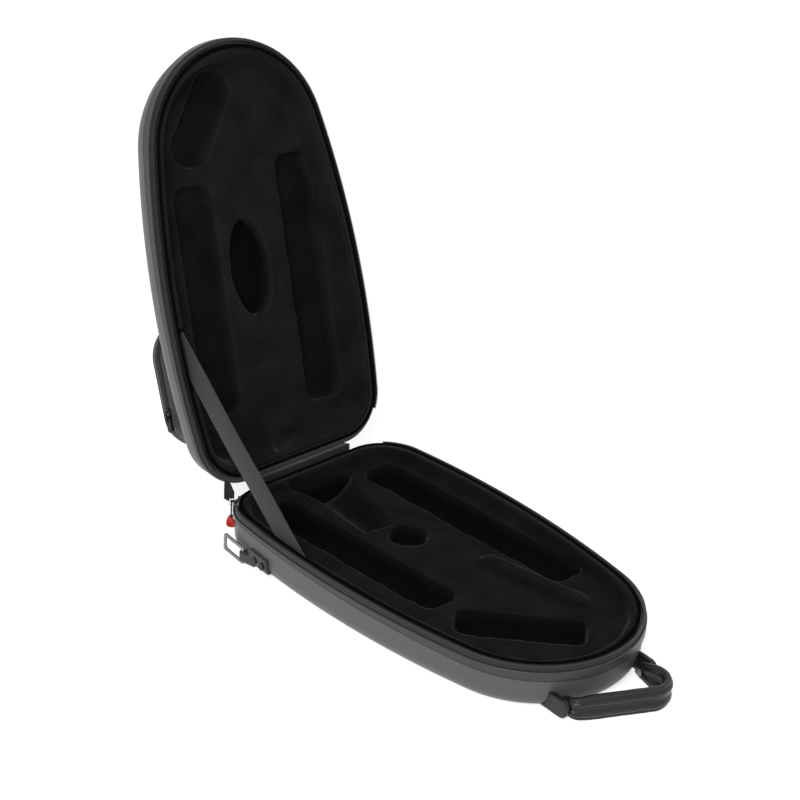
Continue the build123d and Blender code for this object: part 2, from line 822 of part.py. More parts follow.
with BuildPart() as heads:
    for place in (ring_wedge + 2, ring_tab_length - 6):
        with Locations(Location((0, -place, ring_tab_z), (0, 90, 0))):
            Cylinder(
                ring_rivet_head,
                leather * 0.5 + ring_rivet_proud,
                align=(Align.CENTER, Align.CENTER, Align.MIN),
            )
with BuildPart() as ring_chape:
    add(tab.part.moved(ring_place))
    add(tab_skin, mode=Mode.INTERSECT)
    add(wedge.part.moved(ring_place))
    add(base_form, mode=Mode.SUBTRACT)
    with Locations(ring_place * bar_place):
        Cylinder(ring_wire / 2 + ring_fit, ring_height, mode=Mode.SUBTRACT)
    add(shanks.part.moved(ring_place), mode=Mode.SUBTRACT)
with BuildPart() as ring_rivets:
    add(shanks.part.moved(ring_place))
    add(tab_skin, mode=Mode.INTERSECT)
    add(base_form, mode=Mode.SUBTRACT)
with BuildPart() as rivet_heads:
    add(heads.part.moved(ring_place))
    add(tab_skin, mode=Mode.SUBTRACT)
with BuildPart() as rivets:
    add(ring_rivets.part)
    add(rivet_heads.part)
for piece, label in (
    (ring.part.moved(ring_place), "strap_ring"),
    (ring_chape.part, "ring_chape"),
    (rivets.part, "ring_rivets"),
):
    save(piece, f"{label}_right")
    save(piece.mirror(Plane.YZ), f"{label}_left")

# ----------------------------------------------------- pocket on the lid
pocket_middle = half_length - (pocket_low + pocket_high) / 2
pocket_top_y = half_length - pocket_low
pocket_zip_end = pocket_top_y - pocket_zip_start
slider_y = pocket_top_y - pocket_slider_start
split_z = rim_z + pocket_split


def pocket_outline(inset):
    """Rounded outline of the pocket, moved inwards by inset."""
    with BuildSketch() as outline:
        with Locations((0, pocket_middle)):
            RectangleRounded(
                2 * (pocket_half_width - inset),
                pocket_high - pocket_low - 2 * inset,
                pocket_corner - inset,
            )
    return outline.sketch


def pocket_band(inset, width, low, high):
    """Upright wall that follows the pocket's outline between two heights."""
    with BuildPart() as band:
        with BuildSketch(Plane.XY.offset(low)):
            add(pocket_outline(inset))
            add(pocket_outline(inset + width), mode=Mode.SUBTRACT)
        extrude(amount=high - low)
    return band.part


def zip_side(end_y):
    """Everything on the zip's side of a line across the pocket."""
    with BuildPart() as space:
        with Locations((0, end_y, split_z)):
            Box(
                3 * pocket_half_width,
                2 * pocket_high,
                2 * pocket_groove,
                align=(Align.CENTER, Align.MAX, Align.CENTER),
            )
    return space.part


zip_space = zip_side(pocket_zip_end)
with BuildPart() as pocket_gusset:
    add(pocket_band(0, pocket_wall, rim_z + lid_height - lid_edge_round / 2, split_z - pocket_gap))
    add(lid_form, mode=Mode.SUBTRACT)
    add(zip_space, mode=Mode.SUBTRACT)
save(swing_open(pocket_gusset.part), "pocket_gusset")

pocket_top = rim_z + pocket_depth
with BuildPart() as cavity:
    with BuildSketch(Plane.XY.offset(split_z)):
        add(pocket_outline(pocket_wall))
    extrude(amount=pocket_top - pocket_wall - split_z)
    fillet(cavity.faces().sort_by(Axis.Z)[-1].edges(), pocket_edge_round - pocket_wall)
with BuildPart() as pocket_flap:
    with BuildSketch(Plane.XY.offset(split_z + pocket_gap)):
        add(pocket_outline(0))
    extrude(amount=pocket_depth - pocket_split - pocket_gap)
    fillet(pocket_flap.faces().sort_by(Axis.Z)[-1].edges(), pocket_edge_round)
    add(cavity.part, mode=Mode.SUBTRACT)
    add(zip_space, mode=Mode.SUBTRACT)
save(swing_open(pocket_flap.part), "pocket_flap")

chain_far = pocket_chain_gap + pocket_chain_depth
with BuildPart() as slider_bay:
    bay_end = slider_y - pocket_slider_length / 2 - 2 * pocket_slider_fit
    with Locations((0, bay_end, split_z)):
        Box(
            pocket_half_width * 2,
            pocket_high,
            2 * pocket_groove,
            align=(Align.MAX, Align.MIN, Align.MIN),
        )
for owner, hand in (("pocket", -1), ("pocket_flap", 1)):
    for piece, inset, width, near, far in (
        ("chain", pocket_chain_inset, pocket_chain_width, pocket_chain_gap, chain_far),
        ("tape", pocket_tape_inset, pocket_tape, chain_far, pocket_groove),
    ):
        levels = sorted((split_z + hand * near, split_z + hand * far))
        with BuildPart() as strand:
            add(pocket_band(inset, width, *levels))
            add(zip_space, mode=Mode.INTERSECT)
            add(slider_bay.part, mode=Mode.SUBTRACT)
        save(swing_open(strand.part), f"{owner}_zip_{piece}")

pocket_inner = -pocket_chain_inset - pocket_chain_width - pocket_slider_fit - slider_plate
pocket_outer = pocket_slider_fit - pocket_chain_inset + slider_plate
beside_pocket = Location(
    Plane(origin=(-pocket_half_width, slider_y, split_z), x_dir=(0, 0, 1), z_dir=(0, -1, 0))
)
pocket_slider = slider_form(
    pocket_slider_length,
    pocket_slider_height,
    pocket_inner,
    pocket_outer,
    slider_web,
    slider_plate,
    True,
)
pocket_pull, pocket_pull_y, pocket_pull_z = pull_form(pocket_outer)
save(swing_open(pocket_slider.moved(beside_pocket)), "pocket_slider")
save(swing_open(pocket_pull.moved(beside_pocket)), "pocket_pull")
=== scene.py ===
import functools
import logging
import math
from collections.abc import Callable, Iterable, Sequence
from dataclasses import dataclass, field
from enum import Enum

import bmesh
import bpy
from mathutils import Matrix, Vector, noise
from mathutils.bvhtree import BVHTree


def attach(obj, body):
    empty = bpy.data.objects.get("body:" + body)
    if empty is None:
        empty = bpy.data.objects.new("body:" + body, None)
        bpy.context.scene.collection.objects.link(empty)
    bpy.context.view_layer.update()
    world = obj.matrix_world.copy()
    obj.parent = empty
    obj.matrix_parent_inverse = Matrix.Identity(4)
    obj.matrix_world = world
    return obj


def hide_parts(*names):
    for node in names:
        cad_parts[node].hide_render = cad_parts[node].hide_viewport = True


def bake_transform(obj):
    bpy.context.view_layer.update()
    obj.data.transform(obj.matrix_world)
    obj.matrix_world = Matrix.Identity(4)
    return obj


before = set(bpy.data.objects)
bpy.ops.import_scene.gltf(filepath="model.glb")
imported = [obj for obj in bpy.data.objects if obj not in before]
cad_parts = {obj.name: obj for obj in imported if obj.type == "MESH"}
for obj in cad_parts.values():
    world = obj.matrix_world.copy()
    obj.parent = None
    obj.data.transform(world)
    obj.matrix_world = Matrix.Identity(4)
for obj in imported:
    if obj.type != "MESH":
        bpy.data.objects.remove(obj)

LOG = logging.getLogger("clarinet_case")
Colour = tuple[float, float, float]
Operand = "Value | float"
UP = Vector((0, 0, 1))
WHITE = (1, 1, 1, 1)


class Side(Enum):
    """The two halves of the case; the value is the way each lies from the rim."""

    BASE = -1
    LID = 1

    @property
    def body(self) -> str:
        """Name of the body that this half moves with."""
        return self.name.lower()


class Weave(Enum):
    """How the threads of a woven finish cross."""

    PLAIN = "plain"
    RIB = "rib"
    TWILL = "twill"


class Slot(Enum):
    """Material slots of the part."""

    PLUSH = "plush"
    WEBBING_BLACK = "webbing_black"
    WEBBING_GREY = "webbing_grey"
    POCKET_FABRIC = "pocket_fabric"
    ZIP_CHAIN = "zip_chain"
    LEATHER = "leather"
    RED_TAG = "red_tag"


@dataclass(frozen=True)
class CaseSizes:
    """Driving sizes of the case, in metres and degrees."""

    length: float = 0.402
    half_width: float = 0.116
    hinge_corner: float = 0.048
    side_bow: float = 0.006
    tip_narrowing: float = 0.015
    rim_z: float = 0.047
    band_proud: float = 0.001
    strip_thickness: float = 0.0012
    open_angle: float = 109.0
    # Where the painted shade of the groove beside each rim band runs: its depth below the rim where y is 0,
    # and how that depth changes along the case.
    seam_depth: float = 0.012
    seam_slope: float = 0.014925

    @property
    def hinge_y(self) -> float:
        """How far back the hinge axis lies."""
        return self.length / 2 + self.band_proud + self.strip_thickness

    @property
    def hinge_flat(self) -> float:
        """Half the straight length beside the hinge."""
        return self.half_width - self.side_bow - self.hinge_corner

    @property
    def tip_radius(self) -> float:
        """Radius of the carrying end."""
        return self.half_width - self.tip_narrowing

    @property
    def hinge(self) -> Vector:
        """A point of the hinge axis."""
        return Vector((0, self.hinge_y, self.rim_z))

    @property
    def opening(self) -> Matrix:
        """Move that takes a piece of the shut lid to where it stands open."""
        turn = Matrix.Rotation(math.radians(-self.open_angle), 4, "X")
        return Matrix.Translation(self.hinge) @ turn @ Matrix.Translation(-self.hinge)


CASE = CaseSizes()
DECK = {Side.BASE: 0.011, Side.LID: 0.024}  # depth of each lining's flat face below the rim
ZIP_END = {Side.BASE: 50.0, Side.LID: 33.0}  # where each zip stops, as an angle round the hinge corner
# Near-black used as painted shade along the groove beside each rim band, and as the black cloth turned over
# each band's lip.
GROOVE_SHADE_AND_LIP_CLOTH: Colour = (0.004, 0.004, 0.005)


# ---- shader maths


def _operator(operation: str, swapped: bool = False) -> "Callable[[Value, Operand], Value]":
    """A method of Value that adds one Math node, with the other operand first where swapped."""
    return lambda self, *others: self.math(operation, *((*others, self) if swapped else (self, *others)))


class Value:
    """A socket of a node tree, with Python's operators for arithmetic on numbers."""

    __add__, __radd__ = _operator("ADD"), _operator("ADD", swapped=True)
    __sub__, __rsub__ = _operator("SUBTRACT"), _operator("SUBTRACT", swapped=True)
    __mul__, __rmul__ = _operator("MULTIPLY"), _operator("MULTIPLY", swapped=True)
    absolute = _operator("ABSOLUTE")
    sine = _operator("SINE")

    def __init__(self, nodes: "Nodes", socket: bpy.types.NodeSocket) -> None:
        """Wraps one output socket."""
        self.nodes = nodes
        self.socket = socket

    def math(self, operation: str, *operands: Operand) -> "Value":
        """Adds one Math node that works on the operands."""
        return self.nodes.node("ShaderNodeMath", {"operation": operation}, dict(enumerate(operands)))


class Nodes:
    """A node tree under construction."""

    def __init__(self, tree: bpy.types.NodeTree) -> None:
        """Starts the tree empty."""
        self.tree = tree
        self.tree.nodes.clear()

    def join(self, socket: bpy.types.NodeSocket, value: "Value | float | Sequence[float]") -> None:
        """Links a value to a socket, or sets the socket where it is a plain number."""
        if isinstance(value, Value):
            self.tree.links.new(value.socket, socket)
        else:
            socket.default_value = value

    def node(
        self,
        kind: str,
        settings: dict[str, object] | None = None,
        inputs: dict[str | int, object] | None = None,
        output: str | int = 0,
    ) -> Value:
        """Adds any node.

        Args:
            kind: Blender's type name of the node.
            settings: What is set on the node before its sockets; stops are a ramp's.
            inputs: Values or links of its sockets.
            output: The socket that is given back.

        Returns:
            The chosen output of the new node.
        """
        node = self.tree.nodes.new(kind)
        for name, setting in (settings or {}).items():
            if name == "stops":
                self._set_stops(node.color_ramp, setting)
            else:
                setattr(node, name, setting)
        for key, value in (inputs or {}).items():
            self.join(node.inputs[key], value)
        return Value(self, node.outputs[output])

    @staticmethod
    def _set_stops(ramp: bpy.types.ColorRamp, stops: Sequence[tuple[float, float]]) -> None:
        """Sets the two ends of a ramp to grey stops, each a position and a level."""
        for element, (position, level) in zip(ramp.elements, stops):
            element.position = position
            element.color = (level, level, level, 1)

    def seen(self) -> Value:
        """1 where the camera looks straight at the thing or sees it mirrored."""
        camera = self.node("ShaderNodeLightPath", output="Is Camera Ray")
        return camera + Value(self, camera.socket.node.outputs["Is Glossy Ray"])


class Shader(Nodes):
    """A material under construction: one Principled surface and what feeds it."""

    def __init__(self, name: str) -> None:
        """Makes an empty material with a Principled surface."""
        self.material = bpy.data.materials.new(name)
        self.material.use_nodes = True
        super().__init__(self.material.node_tree)
        self.output = self.tree.nodes.new("ShaderNodeOutputMaterial")
        self.surface = self.tree.nodes.new("ShaderNodeBsdfPrincipled")
        self.tree.links.new(self.surface.outputs[0], self.output.inputs["Surface"])

    def place(self) -> Value:
        """Place on the object, in metres."""
        return self.node("ShaderNodeTexCoord", output="Object")

    def length(self) -> list[Value]:
        """Distances along a piece and round it, in metres; the third is 0."""
        return self.parts(self.node("ShaderNodeTexCoord", output="UV"))

    def parts(self, vector: Value) -> list[Value]:
        """The three numbers of a vector."""
        split = self.node("ShaderNodeSeparateXYZ", inputs={0: vector}).socket.node
        return [Value(self, socket) for socket in split.outputs]

    def noise(self, size: float, detail: float = 2.0, vector: Value | None = None) -> Value:
        """Noise whose patches are about size metres across."""
        inputs = {"Vector": vector or self.place(), "Scale": 1 / size, "Detail": detail}
        return self.node("ShaderNodeTexNoise", inputs=inputs)

    def cells(self, size: float) -> Value:
        """Distance within cells about size metres across."""
        return self.node("ShaderNodeTexVoronoi", inputs={"Vector": self.place(), "Scale": 1 / size})

    def ramp(self, value: Value, *stops: tuple[float, float]) -> Value:
        """A value reshaped by two grey stops."""
        return self.node("ShaderNodeValToRGB", {"stops": stops}, {0: value})

    def blend(self, share: Value, first: "Colour | Value", second: Colour) -> Value:
        """Mixes two colours, the first of which may itself be a mixture."""
        under = first if isinstance(first, Value) else (*first, 1)
        return self.node("ShaderNodeMix", {"data_type": "RGBA"}, {0: share, 6: under, 7: (*second, 1)}, 2)

    def bump(self, height: Value, depth: float) -> None:
        """Gives the surface a relief of the given depth in metres."""
        inputs = {"Height": height, "Distance": depth, "Strength": 1.0}
        self.paint(Normal=self.node("ShaderNodeBump", inputs=inputs))

    def cover(self, mask: Value, layer: Value) -> None:
        """Lays another surface over this one where the mask is 1."""
        inputs = {0: mask, 1: Value(self, self.surface.outputs[0]), 2: layer}
        self.join(self.output.inputs["Surface"], self.node("ShaderNodeMixShader", inputs=inputs))

    def paint(self, **sockets: "Value | float | Sequence[float]") -> None:
        """Sets or links sockets of the surface; underscores stand for spaces."""
        for name, value in sockets.items():
            self.join(self.surface.inputs[name.replace("_", " ")], value)


# ---- finishes


@dataclass(frozen=True)
class Finish:
    """Base of all finishes; each builds its material once."""

    name: str
    colour: Colour
    shade: Colour
    roughness: float

    @functools.cache
    def material(self) -> bpy.types.Material:
        """The finish's material."""
        shader = Shader(self.name)
        self.work(shader)
        return shader.material

    def work(self, shader: Shader) -> None:
        """Builds the nodes; each finish has its own."""
        raise NotImplementedError

    def mixed(self, shader: Shader, share: Value) -> Value:
        """The finish's two colours, mixed by a share."""
        return shader.blend(share, self.shade, self.colour)


def from_rim(shader: Shader, side: Side) -> tuple[Value, Value]:
    """Depth below the rim of one half, and how far along the case, in metres."""
    _, y, z = shader.parts(shader.place())
    if side is Side.BASE:
        return CASE.rim_z - z, y
    angle = math.radians(CASE.open_angle)
    along, away = y - CASE.hinge_y, z - CASE.rim_z
    depth = along * math.sin(angle) + away * math.cos(angle)
    return depth, along * math.cos(angle) - away * math.sin(angle) + CASE.hinge_y


@dataclass(frozen=True)
class Plush(Finish):
    """Short pile glued over moulded foam."""

    side: Side = Side.BASE
    sheen: float = 0.27
    sheen_roughness: float = 0.28
    sheen_colour: Colour = (0.30, 0.30, 0.35)
    specular: float = 0.08
    pile: float = 0.0007
    relief: float = 0.0005
    hollow_shade_colour: Colour = (0.0012, 0.0012, 0.0015)  # painted shade of the pile low in a hollow
    hollow: float = 0.014
    brushed_patch: float = 0.03
    brushed_gloss: float = 0.1
    # Colour of rims that show rubbing wear, also a painted highlight on convex edges.
    rubbing_and_highlight: Colour = (0.021, 0.021, 0.024)
    flattest: float = 0.515  # pointiness from which an edge begins to show rubbing wear and a painted highlight
    sharpest: float = 0.60

    def work(self, shader: Shader) -> None:
        """Dark pile with brushed patches, edges painted lighter as a highlight and for rubbing wear, hollows
        painted darker as shade, and a soft sheen.
        """
        brushed = shader.noise(self.brushed_patch, 3)
        pile = shader.noise(self.pile, 3)
        patches = shader.ramp(brushed, (0.35, 0.0), (0.65, 1.0))
        # Painted highlight, partly wear: sharp convex edges are painted lighter.
        edges = shader.node("ShaderNodeNewGeometry", output="Pointiness")
        wear_and_highlight = shader.ramp(edges, (self.flattest, 0.0), (self.sharpest, 1.0))
        # Painted shade: the pile is painted darker the lower it lies below the deck.
        depth, _ = from_rim(shader, self.side)
        hollow_shade = shader.ramp((depth - DECK[self.side]) * (1 / self.hollow), (0.35, 0.0), (1.0, 1.0))
        pelt = shader.blend(hollow_shade, self.mixed(shader, patches), self.hollow_shade_colour)
        shader.paint(
            Base_Color=shader.blend(wear_and_highlight, pelt, self.rubbing_and_highlight),
            Roughness=self.roughness - self.brushed_gloss * patches,
            Sheen_Weight=self.sheen,
            Sheen_Roughness=self.sheen_roughness,
            Sheen_Tint=(*self.sheen_colour, 1),
            Specular_IOR_Level=self.specular,
        )
        shader.bump(pile * 0.7 + brushed * 0.6, self.relief)


@dataclass(frozen=True)
class Moulded(Finish):
    """Satin skin over a moulded shell, with a fine grain and light rubbing."""

    grain: float = 0.0011
    grain_depth: float = 0.00005
    rubbed_patch: float = 0.05
    side: Side = Side.BASE
    groove_shade_width: float = 0.0009
    specular: float = 0.42

    def seam(self, shader: Shader) -> Value:
        """Painted shade of the groove beside the rim band: 1 in the groove and 0 a little away from it."""
        depth, y = from_rim(shader, self.side)
        distance = (depth - (CASE.seam_depth - CASE.seam_slope * y)).absolute()
        return shader.ramp(distance * (1 / self.groove_shade_width), (0.45, 1.0), (1.0, 0.0))

    def work(self, shader: Shader) -> None:
        """Charcoal skin whose gloss changes a little from place to place, with shade painted along the groove
        beside the rim band.
        """
        rubbing_and_highlight = shader.noise(self.rubbed_patch, 5)
        grain = shader.cells(self.grain)
        fine = shader.noise(self.grain * 0.4)
        # Painted shade: near-black along the groove beside the rim band.
        groove_shade = self.seam(shader)
        shader.paint(
            Base_Color=shader.blend(groove_shade, self.mixed(shader, rubbing_and_highlight), GROOVE_SHADE_AND_LIP_CLOTH),
            Roughness=self.roughness + 0.16 * rubbing_and_highlight + 0.3 * groove_shade - 0.08,
            Specular_IOR_Level=self.specular,
        )
        shader.bump(grain * 0.8 + fine * 0.3, self.grain_depth)


@dataclass(frozen=True)
class RimBand(Moulded):
    """The rim band's smooth skin, with lining cloth turned over its inner lip."""

    lip_depth: float = 0.0016

    def work(self, shader: Shader) -> None:
        """Skin on the outside and matt plush on the lip."""
        super().work(shader)
        depth, _ = from_rim(shader, self.side)
        lip = shader.ramp(depth * (1 / self.lip_depth), (0.8, 1.0), (1.0, 0.0))
        shader.cover(lip, shader.node("ShaderNodeBsdfDiffuse", inputs={"Color": (*GROOVE_SHADE_AND_LIP_CLOTH, 1)}))


@dataclass(frozen=True)
class Woven(Finish):
    """Woven cloth: thread pitch along and across, in metres."""

    weave: Weave = Weave.PLAIN
    along: float = 0.0009
    across: float = 0.0007
    depth: float = 0.00018
    by_length: bool = True  # follows the piece's own length; otherwise its place
    sheen: float = 0.25
    sheen_roughness: float = 0.4
    specular: float = 0.3
    patch: float = 0.012

    def threads(self, shader: Shader) -> Value:
        """Height of the threads, from 0 to 1."""
        if self.by_length:
            u, v, _ = shader.length()
        else:
            x, y, z = shader.parts(shader.place())
            u, v = x + 0.5 * y, z - 0.4 * y
        lengthways, crossways = u * (math.pi / self.along), v * (math.pi / self.across)
        if self.weave is Weave.TWILL:
            return 0.5 + 0.4 * (lengthways + crossways).sine()
        warp = lengthways.sine()
        crossing = warp * crossways.sine()
        if self.weave is Weave.RIB:
            return 0.5 + 0.34 * warp + 0.14 * crossing
        return 0.5 + 0.5 * crossing

    def work(self, shader: Shader) -> None:
        """Threads with darker gaps and a little unevenness."""
        height = self.threads(shader)
        uneven = shader.noise(self.patch, 3)
        light = shader.ramp(height * 0.8 + uneven * 0.2, (0.2, 0.0), (0.75, 1.0))
        shader.paint(
            Base_Color=self.mixed(shader, light),
            Roughness=self.roughness + 0.1 * uneven,
            Sheen_Weight=self.sheen,
            Sheen_Roughness=self.sheen_roughness,
            Specular_IOR_Level=self.specular,
        )
        shader.bump(height + uneven * 0.3, self.depth)


@dataclass(frozen=True)
class Leather(Finish):
    """Smooth black leather with fine creases."""

    crease: float = 0.0018
    crease_depth: float = 0.00012
    worn_patch: float = 0.02
    specular: float = 0.34

    def work(self, shader: Shader) -> None:
        """Cells of grain under a waxed surface."""
        grain = shader.cells(self.crease)
        pores = shader.noise(self.crease * 0.3, 3)
        wear_and_highlight = shader.noise(self.worn_patch, 4)
        shader.paint(
            Base_Color=self.mixed(shader, wear_and_highlight),
            Roughness=self.roughness + 0.18 * wear_and_highlight - 0.09,
            Specular_IOR_Level=self.specular,
        )
        shader.bump(1 - grain + pores * 0.3, self.crease_depth)


@dataclass(frozen=True)
class Metal(Finish):
    """Plated metal with hairline scratches."""

    hairline: float = 0.0006
    hairline_depth: float = 0.000015
    handled_patch: float = 0.006

    def work(self, shader: Shader) -> None:
        """Polished plating, duller where it is handled."""
        x, y, z = shader.parts(shader.place())
        stretched = shader.node("ShaderNodeCombineXYZ", inputs={0: x * 8.0, 1: y, 2: z * 0.7})
        hairlines = shader.noise(self.hairline, 3, stretched)
        handled = shader.noise(self.handled_patch, 3)
        shader.paint(
            Base_Color=self.mixed(shader, handled),
            Metallic=1.0,
            Roughness=self.roughness + 0.14 * handled + 0.05 * hairlines,
        )
        shader.bump(hairlines, self.hairline_depth)


@dataclass(frozen=True)
class Nylon(Finish):
    """Drawn nylon, as in coil teeth, and moulded black plastic."""

    patch: float = 0.0015
    relief: float = 0.00004

    def work(self, shader: Shader) -> None:
        """Slightly uneven semi-gloss plastic."""
        uneven = shader.noise(self.patch)
        shader.paint(Base_Color=self.mixed(shader, uneven), Roughness=self.roughness + 0.1 * uneven)
        shader.bump(uneven, self.relief)


@dataclass(frozen=True)
class Thread(Finish):
    """Twisted sewing thread."""

    twist: float = 0.0005
    relief: float = 0.00006
    sheen: float = 0.3

    def work(self, shader: Shader) -> None:
        """Fine slanted strands."""
        u, v, _ = shader.length()
        light = 0.5 + 0.5 * ((u + v) * (2 * math.pi / self.twist)).sine()
        shader.paint(
            Base_Color=self.mixed(shader, light), Roughness=self.roughness, Sheen_Weight=self.sheen
        )
        shader.bump(light, self.relief)


@dataclass(frozen=True)
class PaleFloor(Finish):
    """Plain studio floor that a camera sees as white outside the shadows."""

    lift: float = 0.68
    patch: float = 0.4

    def work(self, shader: Shader) -> None:
        """Matt near-white; a lift is added only for what looks straight at it."""
        shader.paint(
            Base_Color=self.mixed(shader, shader.noise(self.patch)),
            Roughness=self.roughness,
            Specular_IOR_Level=0.0,
            Emission_Color=shader.seen() * self.lift,
            Emission_Strength=1.0,
        )


SHELL_COLOURS = ((0.112, 0.109, 0.109), (0.088, 0.085, 0.086))
BAND_COLOURS = ((0.046, 0.045, 0.047), (0.036, 0.035, 0.037))
# The same plush on both halves, painted darker on the base and lighter on the lid to stand for how light
# falls on each: painted shade and light.
PLUSH_COLOURS_LIT_BY_SIDE = {
    Side.BASE: ((0.0070, 0.0070, 0.0088), (0.0042, 0.0042, 0.0054)),
    Side.LID: ((0.0130, 0.0130, 0.0152), (0.0082, 0.0082, 0.0098)),
}
# The same zip tape on both halves, painted lighter on the base, whose outer side faces the light, and darker
# on the lid: painted light and shade.
TAPE_COLOURS_LIT_BY_SIDE = {
    Side.BASE: ((0.050, 0.049, 0.052), (0.026, 0.025, 0.027)),
    Side.LID: ((0.011, 0.011, 0.013), (0.004, 0.004, 0.005)),
}
# The same coil on both halves, painted lighter on the base and darker on the lid: painted light and shade.
COIL_COLOURS_LIT_BY_SIDE = {
    Side.BASE: ((0.046, 0.045, 0.048), (0.030, 0.029, 0.031)),
    Side.LID: ((0.010, 0.010, 0.011), (0.006, 0.006, 0.007)),
}
TAPE_WEAVE = (Weave.TWILL, 0.0005, 0.0005, 0.0001)
LINING_PLUSH = {s: Plush(f"{s.body}_plush", *PLUSH_COLOURS_LIT_BY_SIDE[s], 0.95, side=s) for s in Side}
SHELL_SKINS = {s: Moulded(f"satin_skin_{s.body}", *SHELL_COLOURS, 0.42, side=s) for s in Side}
BAND_SKINS = {
    s: RimBand(f"rim_band_{s.body}", *BAND_COLOURS, 0.40, 0.0006, 0.00002, side=s) for s in Side
}
ZIP_TAPES = {s: Woven(f"{s.body}_zip_tape", *TAPE_COLOURS_LIT_BY_SIDE[s], 0.8, *TAPE_WEAVE) for s in Side}
COILS = {s: Nylon(f"{s.body}_coil", *COIL_COLOURS_LIT_BY_SIDE[s], 0.45) for s in Side}
GREY_WEBBING = Woven(
    "grey_webbing", (0.056, 0.054, 0.061), (0.026, 0.025, 0.029), 0.7, Weave.RIB, 0.0008, 0.0006
)
BLACK_WEBBING = Woven(
    "black_webbing", (0.018, 0.018, 0.020), (0.007, 0.007, 0.008), 0.75, Weave.RIB, 0.0007, 0.0006
)
POCKET_TAPE = Woven("pocket_tape", (0.016, 0.016, 0.018), (0.006, 0.006, 0.007), 0.8, *TAPE_WEAVE)
POCKET_CLOTH = Woven(
    "pocket_cloth",
    (0.030, 0.029, 0.031),
    (0.014, 0.014, 0.015),
    0.6,
    across=0.0009,
    depth=0.00015,
    by_length=False,
)
RED_CLOTH = Woven(
    "red_cloth", (0.62, 0.035, 0.02), (0.36, 0.018, 0.012), 0.7, Weave.RIB, 0.0006, 0.0006, 0.00012, False
)
TAB_CLOTH = Woven(
    "tab_cloth", (0.014, 0.014, 0.016), (0.005, 0.005, 0.006), 0.8, Weave.RIB, 0.0007, 0.0007, 0.00015, False
)
LEATHER = Leather("black_leather", (0.012, 0.0115, 0.0115), (0.007, 0.0068, 0.0068), 0.40)
GRIP_LEATHER = Leather("grip_leather", (0.0150, 0.0146, 0.0148), (0.0092, 0.0090, 0.0092), 0.34)
TAB_LEATHER = Leather("tab_leather", (0.055, 0.054, 0.056), (0.036, 0.035, 0.037), 0.42)
NICKEL = Metal("bright_nickel", (0.66, 0.65, 0.62), (0.50, 0.49, 0.47), 0.2)
DULL_NICKEL = Metal("dull_nickel", (0.30, 0.30, 0.30), (0.20, 0.20, 0.20), 0.34)
DARK_METAL = Metal("blackened_metal", (0.045, 0.045, 0.048), (0.025, 0.025, 0.027), 0.36)
POCKET_COIL = Nylon("pocket_coil", (0.014, 0.014, 0.015), (0.008, 0.008, 0.009), 0.35)
BLACK_PLASTIC = Nylon("black_plastic", (0.016, 0.016, 0.017), (0.011, 0.011, 0.012), 0.45)
BLACK_THREAD = Thread("black_thread", (0.05, 0.05, 0.054), (0.016, 0.016, 0.018), 0.6)
GREY_THREAD = Thread("grey_thread", (0.11, 0.11, 0.12), (0.04, 0.04, 0.045), 0.65)
PALE_FLOOR = PaleFloor("pale_floor", (0.93, 0.93, 0.93), (0.91, 0.91, 0.91), 1.0)


# ---- mesh drafting

GRAIN_SIDES = 8
GRAIN_PROFILE = ((-0.5, 0.35), (-0.38, 0.85), (0.0, 1.0), (0.38, 0.85), (0.5, 0.35))  # shares: place, girth


@dataclass
class Station:
    """A place along a run, with the directions along it, out of it and up from it."""

    point: Vector
    along: Vector
    out: Vector
    up: Vector

    def shifted(self, out: float, up: float) -> Vector:
        """The place moved out and up by distances in metres."""
        return self.point + self.out * out + self.up * up

    def at(self, point: Vector) -> "Station":
        """The same directions at another point."""
        return Station(point, self.along, self.out, self.up)

    def turned(self, matrix: Matrix) -> "Station":
        """The same station after a rigid move."""
        spin = matrix.to_3x3()
        return Station(matrix @ self.point, spin @ self.along, spin @ self.out, spin @ self.up)


